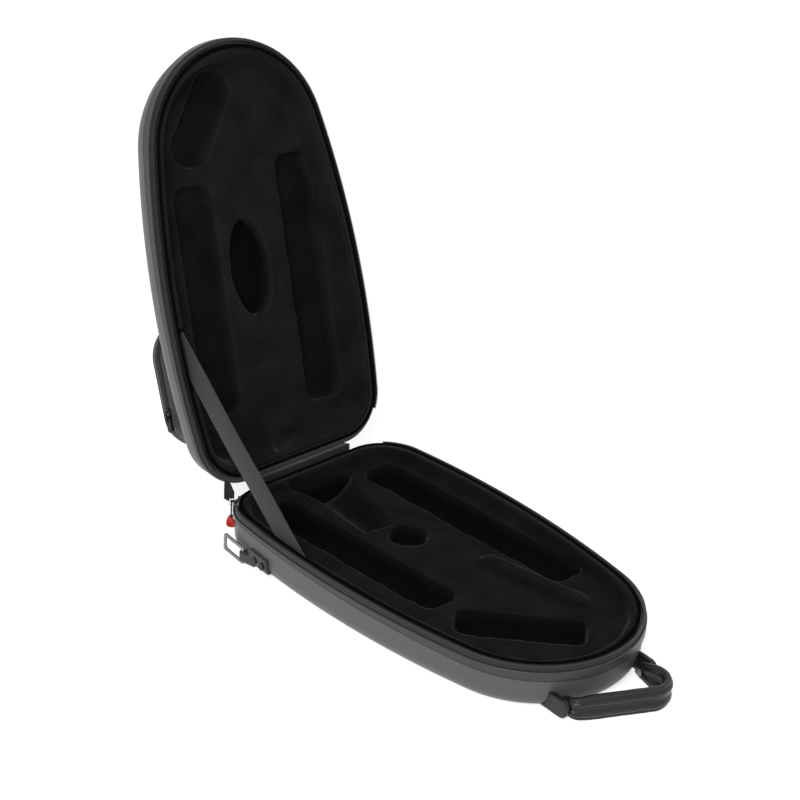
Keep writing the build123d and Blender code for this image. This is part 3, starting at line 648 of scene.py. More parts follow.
@dataclass
class Draft:
    """Vertices, faces and texture places gathered for one mesh."""

    points: list[Vector] = field(default_factory=list)
    faces: list[tuple[int, ...]] = field(default_factory=list)
    uvs: list[tuple[float, float]] = field(default_factory=list)

    def skin(self, rings: Sequence[Sequence[Vector]], loop: bool = False) -> "Draft":
        """Adds a closed skin over a run of rings.

        Args:
            rings: Cross-sections along the run, each a closed loop of as many points.
            loop: Whether the last ring joins the first; otherwise both ends are capped.

        Returns:
            The draft itself.
        """
        first, count, total = len(self.points), len(rings[0]), len(rings)
        lengths = [0.0]
        for before, after in zip(rings, [*rings[1:], rings[0]]):
            lengths.append(lengths[-1] + (after[0] - before[0]).length)
        middle = rings[total // 2]
        girths = [0.0]
        for k in range(count):
            girths.append(girths[-1] + (middle[(k + 1) % count] - middle[k]).length)
        self.points += [point for ring in rings for point in ring]
        for i in range(total if loop else total - 1):
            j = (i + 1) % total
            for k in range(count):
                m = (k + 1) % count
                corners = (i * count + k, i * count + m, j * count + m, j * count + k)
                self.faces.append(tuple(first + corner for corner in corners))
                u, w, v, x = lengths[i], lengths[i + 1], girths[k], girths[k + 1]
                self.uvs += [(u, v), (u, x), (w, x), (w, v)]
        if not loop:
            last = first + (total - 1) * count
            self.faces.append(tuple(first + k for k in reversed(range(count))))
            self.faces.append(tuple(last + k for k in range(count)))
            self.uvs += [(0.0, girths[k]) for k in reversed(range(count))]
            self.uvs += [(lengths[-2], girths[k]) for k in range(count)]
        return self

    def carry(
        self, outline: Sequence[tuple[float, float]], stations: Iterable[Station], loop: bool = False
    ) -> "Draft":
        """Adds a skin whose cross-section outline is carried along stations."""
        return self.skin([[s.shifted(out, up) for out, up in outline] for s in stations], loop)

    def grain(self, station: Station, length: float, thick: float, high: float) -> None:
        """Adds a small rounded grain, such as a stitch or a zip tooth.

        Args:
            station: Its middle; it lies along the station's run.
            length: Its length.
            thick: Its width across, along the station's out.
            high: Its height, along the station's up.
        """
        turns = [2 * math.pi * k / GRAIN_SIDES for k in range(GRAIN_SIDES)]
        rings = []
        for share, size in GRAIN_PROFILE:
            middle = station.point + station.along * (share * length)
            across, high_up = station.out * (thick / 2 * size), station.up * (high / 2 * size)
            rings.append([middle + across * math.cos(turn) + high_up * math.sin(turn) for turn in turns])
        self.skin(rings)

    def built(self, name: str) -> bpy.types.Object:
        """Makes the object, shaded smooth, with its faces turned outwards."""
        mesh = bpy.data.meshes.new(name)
        mesh.from_pydata([tuple(point) for point in self.points], [], self.faces)
        layer = mesh.uv_layers.new(name="length")
        layer.data.foreach_set("uv", [number for uv in self.uvs for number in uv])
        sheet = bmesh.new()
        sheet.from_mesh(mesh)
        bmesh.ops.recalc_face_normals(sheet, faces=sheet.faces)
        sheet.to_mesh(mesh)
        sheet.free()
        mesh.shade_smooth()
        return placed(name, mesh)


def placed(name: str, data: bpy.types.ID) -> bpy.types.Object:
    """A new object of the scene."""
    thing = bpy.data.objects.new(name, data)
    bpy.context.scene.collection.objects.link(thing)
    return thing


def rounded_box(width: float, height: float, rounding: float, steps: int = 3) -> list[tuple[float, float]]:
    """Outline of a rounded rectangle about its middle, as out and up distances."""
    outline = []
    for corner, (x, y) in enumerate(((1, 1), (-1, 1), (-1, -1), (1, -1))):
        for step in range(steps + 1):
            angle = math.radians(90 * corner + 90 * step / steps)
            out = x * (width / 2 - rounding) + rounding * math.cos(angle)
            outline.append((out, y * (height / 2 - rounding) + rounding * math.sin(angle)))
    return outline


def folded_cloth(
    name: str, line: Sequence[tuple[Vector, Vector]], half_length: float, thickness: float, columns: int
) -> bpy.types.Object:
    """A strip of cloth that lies across a hinge line along X.

    Args:
        name: Name of the piece.
        line: Middle line of its cross-section, each point with its outward normal.
        half_length: Half its length along X.
        thickness: How thick it is.
        columns: How many columns of faces it has.

    Returns:
        The new piece.
    """
    half = thickness / 2
    section = [place + normal * half for place, normal in line]
    section += [place - normal * half for place, normal in reversed(line)]
    steps = [Vector((half_length * (2 * column / columns - 1), 0, 0)) for column in range(columns + 1)]
    return Draft().skin([[point + step for point in section] for step in steps]).built(name)


def paced(points: Sequence[Vector], pitch: float) -> list[tuple[Vector, Vector]]:
    """Places at a pitch along a line of points, each with its direction."""
    steps = []
    spare = pitch / 2
    for start, end in zip(points, points[1:]):
        run = end - start
        at = spare
        while at < run.length:
            steps.append((start + run.normalized() * at, run.normalized()))
            at += pitch
        spare = at - run.length
    return steps


def straight_row(start: Vector, end: Vector, normal: Vector, pitch: float) -> list[Station]:
    """Stations at a pitch from start to end, their up along the normal."""
    return [Station(point, way, way.cross(normal), normal) for point, way in paced([start, end], pitch)]


def row_along_x(place: Vector, normal: Vector, half_length: float, pitch: float) -> list[Station]:
    """Stations at a pitch along X, as far to either side of a place."""
    reach = Vector((half_length, 0, 0))
    return straight_row(place - reach, place + reach, normal, pitch)


def apply_modifiers(piece: bpy.types.Object) -> None:
    """Turns a piece's modifiers into its mesh."""
    graph = bpy.context.evaluated_depsgraph_get()
    mesh = bpy.data.meshes.new_from_object(piece.evaluated_get(graph))
    piece.modifiers.clear()
    piece.data = mesh
    mesh.shade_smooth()


def softened(name: str, node: str, voxel: float, rounds: int = 3) -> bpy.types.Object:
    """A soft copy of a CAD node, its edges rounded over as cloth rounds them.

    Args:
        name: Name of the new piece.
        node: The CAD node that it follows.
        voxel: Size of its mesh, in metres.
        rounds: How often the mesh is smoothed.

    Returns:
        The new piece.
    """
    piece = placed(name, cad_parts[node].data.copy())
    piece.data.materials.clear()
    remesh = piece.modifiers.new("mesh", "REMESH")
    remesh.mode = "VOXEL"
    remesh.voxel_size = voxel
    smooth = piece.modifiers.new("rounding", "SMOOTH")
    smooth.iterations = rounds
    apply_modifiers(piece)
    return piece


def moved_points(piece: bpy.types.Object, move: Callable[[Vector, Vector], Vector]) -> None:
    """Moves each vertex to what move gives for its place and normal."""
    places = [move(vertex.co.copy(), vertex.normal.copy()) for vertex in piece.data.vertices]
    piece.data.vertices.foreach_set("co", [number for place in places for number in place])
    piece.data.update()


def uneven(amount: float, patch: float) -> Callable[[Vector, Vector], Vector]:
    """A move that lifts and sinks a soft surface a little, in patches."""
    return lambda place, normal: place + normal * (amount * noise.noise(place / patch))


def from_0_to_1(share: float) -> float:
    """A share held between 0 and 1."""
    return min(1.0, max(0.0, share))


class Surface:
    """The faces of a piece, to lay stitches and cords on."""

    def __init__(self, piece: bpy.types.Object) -> None:
        """Takes the piece as it is now."""
        mesh = piece.data
        faces = [tuple(polygon.vertices) for polygon in mesh.polygons]
        self.tree = BVHTree.FromPolygons([vertex.co for vertex in mesh.vertices], faces)

    def under(self, point: Vector, way: Vector) -> tuple[Vector, Vector] | None:
        """Where a line from a point meets the surface, and the normal there."""
        place, normal, _, _ = self.tree.ray_cast(point, way)
        if place is None:
            return None
        return place, normal if normal.dot(way) < 0 else -normal

    def row(self, points: Sequence[Vector], way: Vector, pitch: float) -> list[Station]:
        """Stations at a pitch along a line of points, laid on the surface."""
        laid = []
        for point, along in paced(points, pitch):
            found = self.under(point, way)
            if found is not None:
                place, normal = found
                run = (along - normal * along.dot(normal)).normalized()
                laid.append(Station(place, run, run.cross(normal), normal))
        return laid


def dress(
    piece: bpy.types.Object, finish: Finish, body: str | None, node: str | None = None
) -> bpy.types.Object:
    """Gives a piece its looks and its place in the frame.

    Args:
        piece: The piece.
        finish: Its finish.
        body: The body that it moves with, or None where it spans two.
        node: The CAD node that it replaces, if any.

    Returns:
        The same piece.
    """
    piece.data.materials.clear()
    piece.data.materials.append(finish.material())
    if body is not None:
        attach(piece, body)
    if node is not None:
        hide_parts(node)
    LOG.info("%s: %d faces, on %s", piece.name, len(piece.data.polygons), body or "two bodies")
    return piece


def stitch(
    name: str,
    rows: Iterable[Sequence[Station]],
    slot: Slot,
    body: str,
    size: tuple[float, float] = (0.0024, 0.0006),
    thread: Finish = BLACK_THREAD,
) -> None:
    """Makes rows of single stitches.

    Args:
        name: Name of the piece.
        rows: The stitches' middles; each station's up stands out of the cloth.
        slot: Slot of what they are sewn into; not used.
        body: The body that they move with.
        size: Length and thickness of one stitch.
        thread: Finish of the thread.
    """
    draft = Draft()
    for row in rows:
        for station in row:
            draft.grain(station, size[0], size[1], size[1])
    dress(draft.built(name), thread, body)


def finish_nodes(finish: Finish, *nodes: str) -> None:
    """Gives CAD nodes that stay visible their finish."""
    for node in nodes:
        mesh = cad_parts[node].data
        mesh.materials.clear()
        mesh.materials.append(finish.material())
        LOG.info("%s: %s", node, finish.name)


# ---- case geometry


@dataclass(frozen=True)
class Arc:
    """One arc of an outline, run from its start angle to its end angle."""

    centre: Vector
    radius: float
    start: float
    end: float

    def stations(self, inset: float, pitch: float) -> list[Station]:
        """Stations along the arc moved in by inset, no further apart than pitch."""
        steps = max(1, math.ceil(math.radians(abs(self.start - self.end)) * self.radius / pitch))
        found = []
        for step in range(steps + 1):
            angle = math.radians(self.start + (self.end - self.start) * step / steps)
            out = Vector((math.cos(angle), math.sin(angle), 0))
            along = Vector((out.y, -out.x, 0))
            found.append(Station(self.centre + out * (self.radius - inset), along, out, UP))
        return found


class Rim:
    """Outline of the case at its rim, as the bands and the zip follow it."""

    def __init__(self) -> None:
        """Works out the three arcs of one side."""
        half = CASE.length / 2
        self.corner = Vector((CASE.hinge_flat, half - CASE.hinge_corner, 0))
        self.tip = Vector((0, CASE.tip_radius - half, 0))
        reach = CASE.half_width - CASE.hinge_flat
        tip_run = CASE.length - CASE.tip_radius
        ratio = CASE.tip_narrowing / CASE.side_bow
        a = 1 - ratio
        b = 2 * tip_run - 2 * ratio * CASE.hinge_corner
        c = tip_run**2 - ratio * reach**2 + CASE.half_width**2 - CASE.tip_radius**2
        from_hinge = (-b + math.sqrt(b * b - 4 * a * c)) / (2 * a)
        spread = (from_hinge + CASE.hinge_corner) ** 2 + reach**2 - CASE.hinge_corner**2
        self.side_radius = spread / (2 * CASE.side_bow)
        self.side = Vector((CASE.half_width - self.side_radius, half + from_hinge, 0))

    def angle_to(self, centre: Vector) -> float:
        """Angle at which the long side's arc meets another arc."""
        run = centre - self.side
        return math.degrees(math.atan2(run.y, run.x))

    def wall_x(self, y: float) -> float:
        """Half the width of the case at y."""
        return self.side.x + math.sqrt(self.side_radius**2 - (y - self.side.y) ** 2)

    def inset(self, place: Vector) -> float:
        """How far inside the outline a place lies, seen from above with the lid shut."""
        across, y = abs(place.x), place.y
        if y < self.tip.y:
            return CASE.tip_radius - math.hypot(across, y - self.tip.y)
        if y > self.corner.y and across > self.corner.x:
            return CASE.hinge_corner - math.hypot(across - self.corner.x, y - self.corner.y)
        return min(self.wall_x(y) - across, CASE.length / 2 - y)

    def stations(self, side: Side, inset: float, pitch: float, depth: float) -> list[Station]:
        """Stations from one hinge corner round the carrying end to the other.

        Args:
            side: The half of the case.
            inset: How far inside the outline they run.
            pitch: Furthest distance between two.
            depth: How far from the rim they lie; their up points away from the rim.

        Returns:
            The stations; the lid's stand where the open lid is.
        """
        start, end = self.angle_to(self.corner), self.angle_to(self.tip)
        arcs = (
            Arc(self.corner, CASE.hinge_corner, ZIP_END[side], start),
            Arc(self.side, self.side_radius, start, end),
            Arc(self.tip, CASE.tip_radius, end, -90),
        )
        right: list[Station] = []
        for arc in arcs:
            right += arc.stations(inset, pitch)[1 if right else 0 :]
        flip = Matrix.Diagonal((-1, 1, 1))
        left = [Station(flip @ s.point, flip @ -s.along, flip @ s.out, UP) for s in reversed(right[:-1])]
        lift = UP * (CASE.rim_z + side.value * depth)
        level = [Station(s.point + lift, s.along, s.out, UP * side.value) for s in right + left]
        return [s.turned(CASE.opening) for s in level] if side is Side.LID else level


# ---- assemblies


class Shells:
    """The moulded halves, their rim bands and the fittings that stay as in CAD."""

    def dress(self) -> None:
        """Gives the rigid pieces their finishes."""
        for side in Side:
            finish_nodes(SHELL_SKINS[side], f"{side.body}_shell")
            finish_nodes(BAND_SKINS[side], f"{side.body}_rim_band")
        finish_nodes(BLACK_PLASTIC, "stay_plate_base", "stay_plate_lid")
        finish_nodes(DARK_METAL, "ring_rivets_left", "ring_rivets_right", "zip_pull")
        finish_nodes(DARK_METAL, "pocket_slider", "pocket_pull")
        finish_nodes(DULL_NICKEL, "strap_ring_left", "strap_ring_right", "handle_pins")
        finish_nodes(NICKEL, "stay_studs_base", "stay_studs_lid", "zip_slider")


@dataclass
class Lining:
    """A moulded foam lining covered in plush."""

    side: Side
    rim: Rim
    voxel: float = 0.0018
    rounds: int = 7
    unevenness: float = 0.0006
    patch: float = 0.022
    fill: float = 0.5
    foam: float = 0.015
    pressed: float = 0.004  # how much deeper the lid's hollows are pressed into its foam
    edge_from: float = 0.017
    edge_to: float = 0.021

    def pressed_in(self, place: Vector, normal: Vector) -> Vector:
        """Deepens the lid's hollows, and leaves its padded edge and its back as they are."""
        shut = CASE.opening.inverted() @ place
        below = shut.z - CASE.rim_z - DECK[self.side]
        if not 0 < below < self.foam:
            return place
        share = (self.rim.inset(shut) - self.edge_from) / (self.edge_to - self.edge_from)
        shut.z += self.pressed * math.sin(math.pi * below / self.foam) * from_0_to_1(share)
        return CASE.opening @ shut

    def build(self) -> None:
        """Makes the lining as a soft piece in its half."""
        body = self.side.body
        piece = softened(f"{body}_plush_lining", f"{body}_liner", self.voxel, self.rounds)
        if self.side is Side.LID:
            moved_points(piece, self.pressed_in)
        moved_points(piece, uneven(self.unevenness, self.patch))
        dress(piece, LINING_PLUSH[self.side], body, f"{body}_liner")


@dataclass(frozen=True)
class ZipHalf:
    """One half of a zip: coil teeth round a filler cord, and the tape that carries them."""

    chain_inset: float = 0.0004
    chain_width: float = 0.0026
    chain_depth: float = 0.0019
    chain_gap: float = 0.0005
    groove: float = 0.006
    tape_thickness: float = 0.001
    tooth_pitch: float = 0.0015
    tooth_length: float = 0.0011
    cord_width: float = 0.0008
    cord_rounding: float = 0.00036
    tape_from: float = 0.8  # where the tape starts, as a share of the chain's depth
    tape_rounding: float = 0.35

    @property
    def inset(self) -> float:
        """How far inside the outline the chain's middle runs."""
        return self.chain_inset + self.chain_width / 2

    def build(
        self, owner: str, body: str, run: Callable[[float], list[Station]], coil: Finish, cloth: Finish
    ) -> None:
        """Makes the chain and the tape.

        Args:
            owner: What the names of the pieces and of their CAD nodes begin with.
            body: The body that they move with.
            run: Gives the stations along the zip at a depth from where its halves meet.
            coil: Finish of the teeth.
            cloth: Finish of the tape.
        """
        middle = run(self.chain_gap + self.chain_depth / 2)
        draft = Draft()
        for s in middle:
            across = Station(s.point, s.out, s.along, s.up)
            draft.grain(across, self.chain_width, self.tooth_length, self.chain_depth)
        draft.carry(rounded_box(self.cord_width, self.cord_width, self.cord_rounding), middle)
        dress(draft.built(f"{owner}_coil"), coil, body, f"{owner}_zip_chain")
        top = self.chain_gap + self.chain_depth * self.tape_from
        height = self.groove - top
        outline = rounded_box(self.tape_thickness, height, self.tape_thickness * self.tape_rounding)
        tape = Draft().carry(outline, run(top + height / 2)).built(f"{owner}_tape")
        dress(tape, cloth, body, f"{owner}_zip_tape")


@dataclass
class RimZip:
    """The zip round the case, one half on each rim band."""

    rim: Rim
    side: Side

    def build(self) -> None:
        """Makes the half of this side."""
        half, name = ZipHalf(), self.side.body
        run = functools.partial(self.rim.stations, self.side, half.inset, half.tooth_pitch)
        half.build(name, name, run, COILS[self.side], ZIP_TAPES[self.side])


@dataclass
class ZipEnd:
    """The pull's cloth tag and the tab in which the zip tape ends."""

    tag_voxel: float = 0.00035
    tab_voxel: float = 0.0004
    tag_length: float = 0.013
    tag_twist: float = 75.0
    tag_twist_rate: float = 1.6
    tag_puff: float = 0.0006
    tag_tuck: float = 0.14  # share of the tag's length taken up by its filling
    tag_fill: float = 0.3
    tab_stretch: float = 0.6

    def twisted(self, place: Vector, top: float, axis: Vector) -> Vector:
        """Turns the hanging tag on its own axis, more the lower down, and draws its end up."""
        share = from_0_to_1((top - place.z) / self.tag_length)
        out = Vector((place.x - axis.x, place.y - axis.y, 0))
        turn = math.radians(self.tag_twist * min(1.0, self.tag_twist_rate * share))
        level = Vector((axis.x, axis.y, place.z + (top - place.z) * self.tag_tuck))
        return level + Matrix.Rotation(turn, 3, "Z") @ out

    def raised(self, place: Vector, normal: Vector) -> Vector:
        """Draws the tab's upper part up beside the lid."""
        return place + UP * (max(0.0, place.z - CASE.rim_z) * self.tab_stretch)

    def build(self) -> None:
        """Makes both cloth pieces."""
        tag = softened("red_pull_tag", "zip_tag", self.tag_voxel)
        places = [vertex.co.copy() for vertex in tag.data.vertices]
        axis = sum(places, Vector()) / len(places)
        top = max(place.z for place in places)
        moved_points(tag, lambda place, normal: place + normal * self.tag_puff)
        moved_points(tag, lambda place, normal: self.twisted(place, top, axis))
        dress(tag, RED_CLOTH, "zip_pull", "zip_tag")
        tab = softened("tape_end_tab", "zip_end_tab", self.tab_voxel)
        moved_points(tab, self.raised)
        dress(tab, TAB_CLOTH, "base", "zip_end_tab")


@dataclass
class HingeStrip:
    """Cloth strip that joins the two halves behind, built bent to the open lid."""

    leaf: float = 0.012
    margin: float = 0.002
    thickness: float = 0.0011
    bend_steps: int = 10
    leaf_steps: int = 5
    stitch_pitch: float = 0.0032
    columns: int = 40

    def line(self) -> list[tuple[Vector, Vector]]:
        """Middle line of the strip across the hinge, each point with its normal."""
        half, whole = CASE.strip_thickness / 2, -math.radians(CASE.open_angle)
        shares = [step / self.leaf_steps for step in range(self.leaf_steps + 1)]
        bends = [whole * step / self.bend_steps for step in range(self.bend_steps + 1)]
        run = [(0.0, self.leaf * (share - 1)) for share in shares[:-1]]
        run += [(bend, 0.0) for bend in bends]
        run += [(bends[-1], self.leaf * share) for share in shares[1:]]
        turned = [(Matrix.Rotation(bend, 3, "X"), Vector((0, -half, rise))) for bend, rise in run]
        return [(CASE.hinge + turn @ place, turn @ Vector((0, 1, 0))) for turn, place in turned]

    def build(self) -> None:
        """Makes the strip and its two rows of stitches."""
        half_length = CASE.hinge_flat - self.margin
        line = self.line()
        piece = folded_cloth("hinge_cloth", line, half_length, self.thickness, self.columns)
        dress(piece, BLACK_WEBBING, None, "hinge_strip")
        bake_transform(piece)
        for side, index in ((Side.BASE, 1), (Side.LID, -2)):
            place, normal = line[index]
            row = row_along_x(place + normal * (self.thickness / 2), normal, half_length, self.stitch_pitch)
            stitch(f"hinge_stitches_{side.body}", [row], Slot.WEBBING_BLACK, side.body)


@dataclass
class StayRibbon:
    """Webbing ribbon that holds the open lid, sewn double at both ends."""

    width: float = 0.025
    thickness: float = 0.0013
    rounding: float = 0.42
    x: float = -0.104
    base_y: float = 0.093
    base_depth: float = 0.0076
    lid_y: float = 0.064
    lid_depth: float = 0.0066
    tail: float = 0.013
    pitch: float = 0.003
    sewn_from: float = 0.0025
    sewn_to: float = 0.009
    sewn_edge: float = 0.0022
    stitch_pitch: float = 0.003
    sway: float = 0.0008
    sway_start: float = 0.6  # radians, as is the next
    sway_run: float = 7.0

    def stations(self) -> list[Station]:
        """Stations from below the foot on the base to above the head on the lid."""
        foot = Vector((self.x, self.base_y, CASE.rim_z - self.base_depth))
        head = CASE.opening @ Vector((self.x, self.lid_y, CASE.rim_z + self.lid_depth))
        along = (head - foot).normalized()
        inwards = Vector((1, 0, 0))
        length = (head - foot).length + 2 * self.tail
        steps = math.ceil(length / self.pitch)
        found = []
        for step in range(steps + 1):
            share = step / steps
            point = foot + along * (length * share - self.tail)
            wave = math.sin(self.sway_run * share + self.sway_start)
            loose = math.sin(math.pi * share) ** 2 * self.sway * wave
            found.append(Station(point + inwards * loose, along, inwards.cross(along), inwards))
        return found

    def build(self) -> None:
        """Makes the ribbon with its sewn ends."""
        stations = self.stations()
        outline = rounded_box(self.width, self.thickness, self.thickness * self.rounding)
        ribbon = Draft().carry(outline, stations).built("stay_webbing")
        dress(ribbon, GREY_WEBBING, None, "lid_stay_strap")
        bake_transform(ribbon)
        for side, end in ((Side.BASE, stations[0]), (Side.LID, stations[-1])):
            rows = self.seams(end, end.along * -side.value)
            stitch(f"stay_stitches_{side.body}", rows, Slot.WEBBING_GREY, side.body, thread=GREY_THREAD)

    def seams(self, end: Station, way: Vector) -> list[list[Station]]:
        """Rows of a sewn box on one end; way points from that end along the ribbon."""
        near, far = way * self.sewn_from, way * self.sewn_to
        reach, lift = self.width / 2 - self.sewn_edge, self.thickness / 2
        box = ((near, -reach), (far, -reach), (far, reach), (near, reach), (near, -reach))
        corners = [end.shifted(side, lift) + run for run, side in box]
        return [straight_row(*ends, end.up, self.stitch_pitch) for ends in zip(corners, corners[1:])]


@dataclass
class Handle:
    """Carrying handle: a padded leather grip sewn along both edges, and its chapes."""

    turn: float = -3.5
    spread: float = 0.0882
    pivot_reach: float = 0.0994
    pivot_z: float = 0.0124
    height: float = 0.024
    thickness: float = 0.009
    floor_gap: float = 0.0004
    root_radius: float = 0.008
    root_seat: float = 0.97  # where the grip starts, as a share of the root's radius
    root_taper: float = 0.013
    root_straight: float = 0.008
    lead: float = 0.0075
    root_bend: float = 0.008
    outer_bend: float = 0.0165
    outer_bends: tuple[tuple[float, float], ...] = ((0.027, -0.137), (0.0495, -0.131))
    pitch: float = 0.0016
    edge: float = 0.52  # half thickness of the sewn edge, as a share of the padding's
    furrow: float = 0.60  # the same for the furrow between the grip's two rolls
    fill: float = 0.8
    unevenness: float = 0.0002
    patch: float = 0.009
    stitch_pitch: float = 0.0036
    stitch_levels: tuple[float, float] = (0.072, 0.928)
    stitched_height: float = 0.75  # stitches stop where the grip is lower than this share
    stitch: tuple[float, float] = (0.0026, 0.0007)  # length and thickness
    chape_voxel: float = 0.0008
    chape_thickness: float = 0.005
    chape_fit: float = 0.0003
    chape_end: float = 0.007
    chape_seam: float = 0.0022
    chape_margin: float = 0.003
    chape_stitch: tuple[float, float] = (0.002, 0.0006)
    chape_stitch_pitch: float = 0.00288

    @property
    def place(self) -> Matrix:
        """Where the handle's own frame stands."""
        middle = Vector((0, CASE.tip_radius - CASE.length / 2, 0))
        return Matrix.Translation(middle) @ Matrix.Rotation(math.radians(self.turn), 4, "Z")

    def path(self) -> list[Vector]:
        """Middle line of the grip from root to root, its bends rounded."""
        root = self.spread / 2
        inner = self.root_radius * self.root_seat - self.pivot_reach
        corners = (
            (-root, inner),
            (-root, -self.pivot_reach - self.lead),
            *self.outer_bends,
            (root, -self.pivot_reach - self.root_straight),
            (root, inner),
        )
        corners = [Vector((x, y, 0)) for x, y in corners]
        line = [corners[0]]
        bends = (self.root_bend, self.outer_bend, self.outer_bend, self.root_bend)
        for before, corner, after, bend in zip(corners, corners[1:], corners[2:], bends):
            line += self.rounded(before, corner, after, bend)
        return [*line, corners[-1]]

    def rounded(self, before: Vector, corner: Vector, after: Vector, bend: float) -> list[Vector]:
        """Points of the arc of radius bend that rounds one corner of the path."""
        back, ahead = (before - corner).normalized(), (after - corner).normalized()
        half = back.angle(ahead) / 2
        centre = corner + (back + ahead).normalized() * (bend / math.sin(half))
        start, end = ((corner + way * (bend / math.tan(half)) - centre).normalized() for way in (back, ahead))
        steps = max(2, math.ceil(start.angle(end) * bend / self.pitch))
        return [centre + start.slerp(end, step / steps) * bend for step in range(steps + 1)]

    def levels(self, point: Vector) -> tuple[float, float]:
        """Bottom and top of the grip over a point of its path."""
        bottom, top = self.floor_gap, self.floor_gap + self.height
        beyond = -point.y - self.pivot_reach
        if beyond > self.root_taper:
            return bottom, top
        if beyond > 0:
            share = beyond / self.root_taper
            low, high = self.pivot_z - self.root_radius, self.pivot_z + self.root_radius
            return low + (bottom - low) * share, high + (top - high) * share
        half = math.sqrt(max(self.root_radius**2 - beyond**2, 1e-8))
        return self.pivot_z - half, self.pivot_z + half

    def section(self) -> list[tuple[float, float]]:
        """Cross-section: shares of half the thickness and of the height."""
        edge = self.edge
        seam = ((0.55, 0.0), (0.9, 0.012), (1.0, 0.045), (1.0, 0.085), (0.82, 0.115), (1.05, 0.135))
        roll = ((0.76, 0.165), (0.93, 0.205), (1.0, 0.26), (0.97, 0.32), (0.86, 0.38), (0.70, 0.43))
        face = [(edge * out, up) for out, up in seam]
        face += [*roll, (self.furrow, 0.47), (self.furrow, 0.5)]
        right = face + [(out, 1 - up) for out, up in reversed(face[:-1])]
        return right + [(-out, up) for out, up in reversed(right)]

    def spot(self, point: Vector, along: Vector, share: float, up: float) -> Vector:
        """A place beside the path, by shares of half the thickness and of the height."""
        low, high = self.levels(point)
        side = along.cross(UP) * (share * self.thickness / 2)
        return self.place @ (point + side + UP * (low + (high - low) * up))

    def build(self) -> None:
        """Makes the grip, its stitches and the chapes."""
        line, section = self.path(), self.section()
        rings = []
        for point, along in paced(line, self.pitch):
            rings.append([self.spot(point, along, share, up) for share, up in section])
        grip = Draft().skin(rings).built("leather_grip")
        subdivide = grip.modifiers.new("smooth", "SUBSURF")
        subdivide.levels = subdivide.render_levels = 1
        apply_modifiers(grip)
        moved_points(grip, uneven(self.unevenness, self.patch))
        dress(grip, GRIP_LEATHER, "handle", "handle_grip")
        rows = [self.seam(line, face, up) for face in (1, -1) for up in self.stitch_levels]
        stitch("grip_stitches", rows, Slot.LEATHER, "handle", self.stitch)
        for side, hand in (("left", -1), ("right", 1)):
            self.build_chape(side, hand)

    def seam(self, line: Sequence[Vector], face: int, up: float) -> list[Station]:
        """One row of stitches on a face of the grip, up a share of its height."""
        spin = self.place.to_3x3()
        row = []
        for point, along in paced(line, self.stitch_pitch):
            low, high = self.levels(point)
            if high - low >= self.height * self.stitched_height:
                place = self.spot(point, along, face * self.edge, up)
                row.append(Station(place, spin @ along, UP, spin @ along.cross(UP) * face))
        return row

    def build_chape(self, side: str, hand: int) -> None:
        """Makes one chape, a doubled leather fin sewn beside its outer end."""
        node = f"handle_chape_{side}"
        chape = softened(f"leather_chape_{side}", node, self.chape_voxel)
        surface = Surface(chape)
        middle = self.spread / 2 + self.thickness / 2 + self.chape_fit + self.chape_thickness / 2
        y = self.chape_seam - self.pivot_reach - self.chape_end
        levels = (self.floor_gap + self.chape_margin, self.floor_gap + self.height - self.chape_margin)
        rows = []
        for face in (-1, 1):
            way = self.place.to_3x3() @ Vector((-face, 0, 0))
            x = hand * middle + face * self.chape_thickness
            points = [self.place @ Vector((x, y, z)) for z in levels]
            rows.append(surface.row(points, way, self.chape_stitch_pitch))
        dress(chape, LEATHER, "base", node)
        stitch(f"chape_stitches_{side}", rows, Slot.LEATHER, "base", self.chape_stitch)


@dataclass
class RingChapes:
    """Leather tabs that hold the two strap rings beside the hinge end."""

    rim: Rim
    ring_y: float = 0.153
    start: float = 0.008
    length: float = 0.036
    height: float = 0.016
    middle_z: float = 0.0145
    inset: float = 0.0018
    ring_room: float = 0.009
    outside: float = 0.02
    voxel: float = 0.0006
    pitch: float = 0.0028
    stitch: tuple[float, float] = (0.0019, 0.0005)  # length and thickness

    def build(self) -> None:
        """Makes both tabs with a row of stitches round each."""
        turn = math.asin((self.ring_y - self.rim.side.y) / self.rim.side_radius)
        origin = Vector((self.rim.wall_x(self.ring_y), self.ring_y, 0))
        place = Matrix.Translation(origin) @ Matrix.Rotation(turn, 4, "Z")
        reach = self.height / 2 - self.inset
        low, high = self.middle_z - reach, self.middle_z + reach
        near, far = -self.start - self.ring_room, self.inset - self.length
        for side, hand in (("left", -1), ("right", 1)):
            mirrored = Matrix.Diagonal((hand, 1, 1, 1)) @ place
            node = f"ring_chape_{side}"
            tab = softened(f"leather_ring_tab_{side}", node, self.voxel)
            corners = ((near, low), (far, low), (far, high), (near, high))
            points = [mirrored @ Vector((self.outside, y, z)) for y, z in corners]
            row = Surface(tab).row(points, mirrored.to_3x3() @ Vector((-1, 0, 0)), self.pitch)
            dress(tab, TAB_LEATHER, "base", node)
            stitch(f"ring_tab_stitches_{side}", [row], Slot.LEATHER, "base", self.stitch)


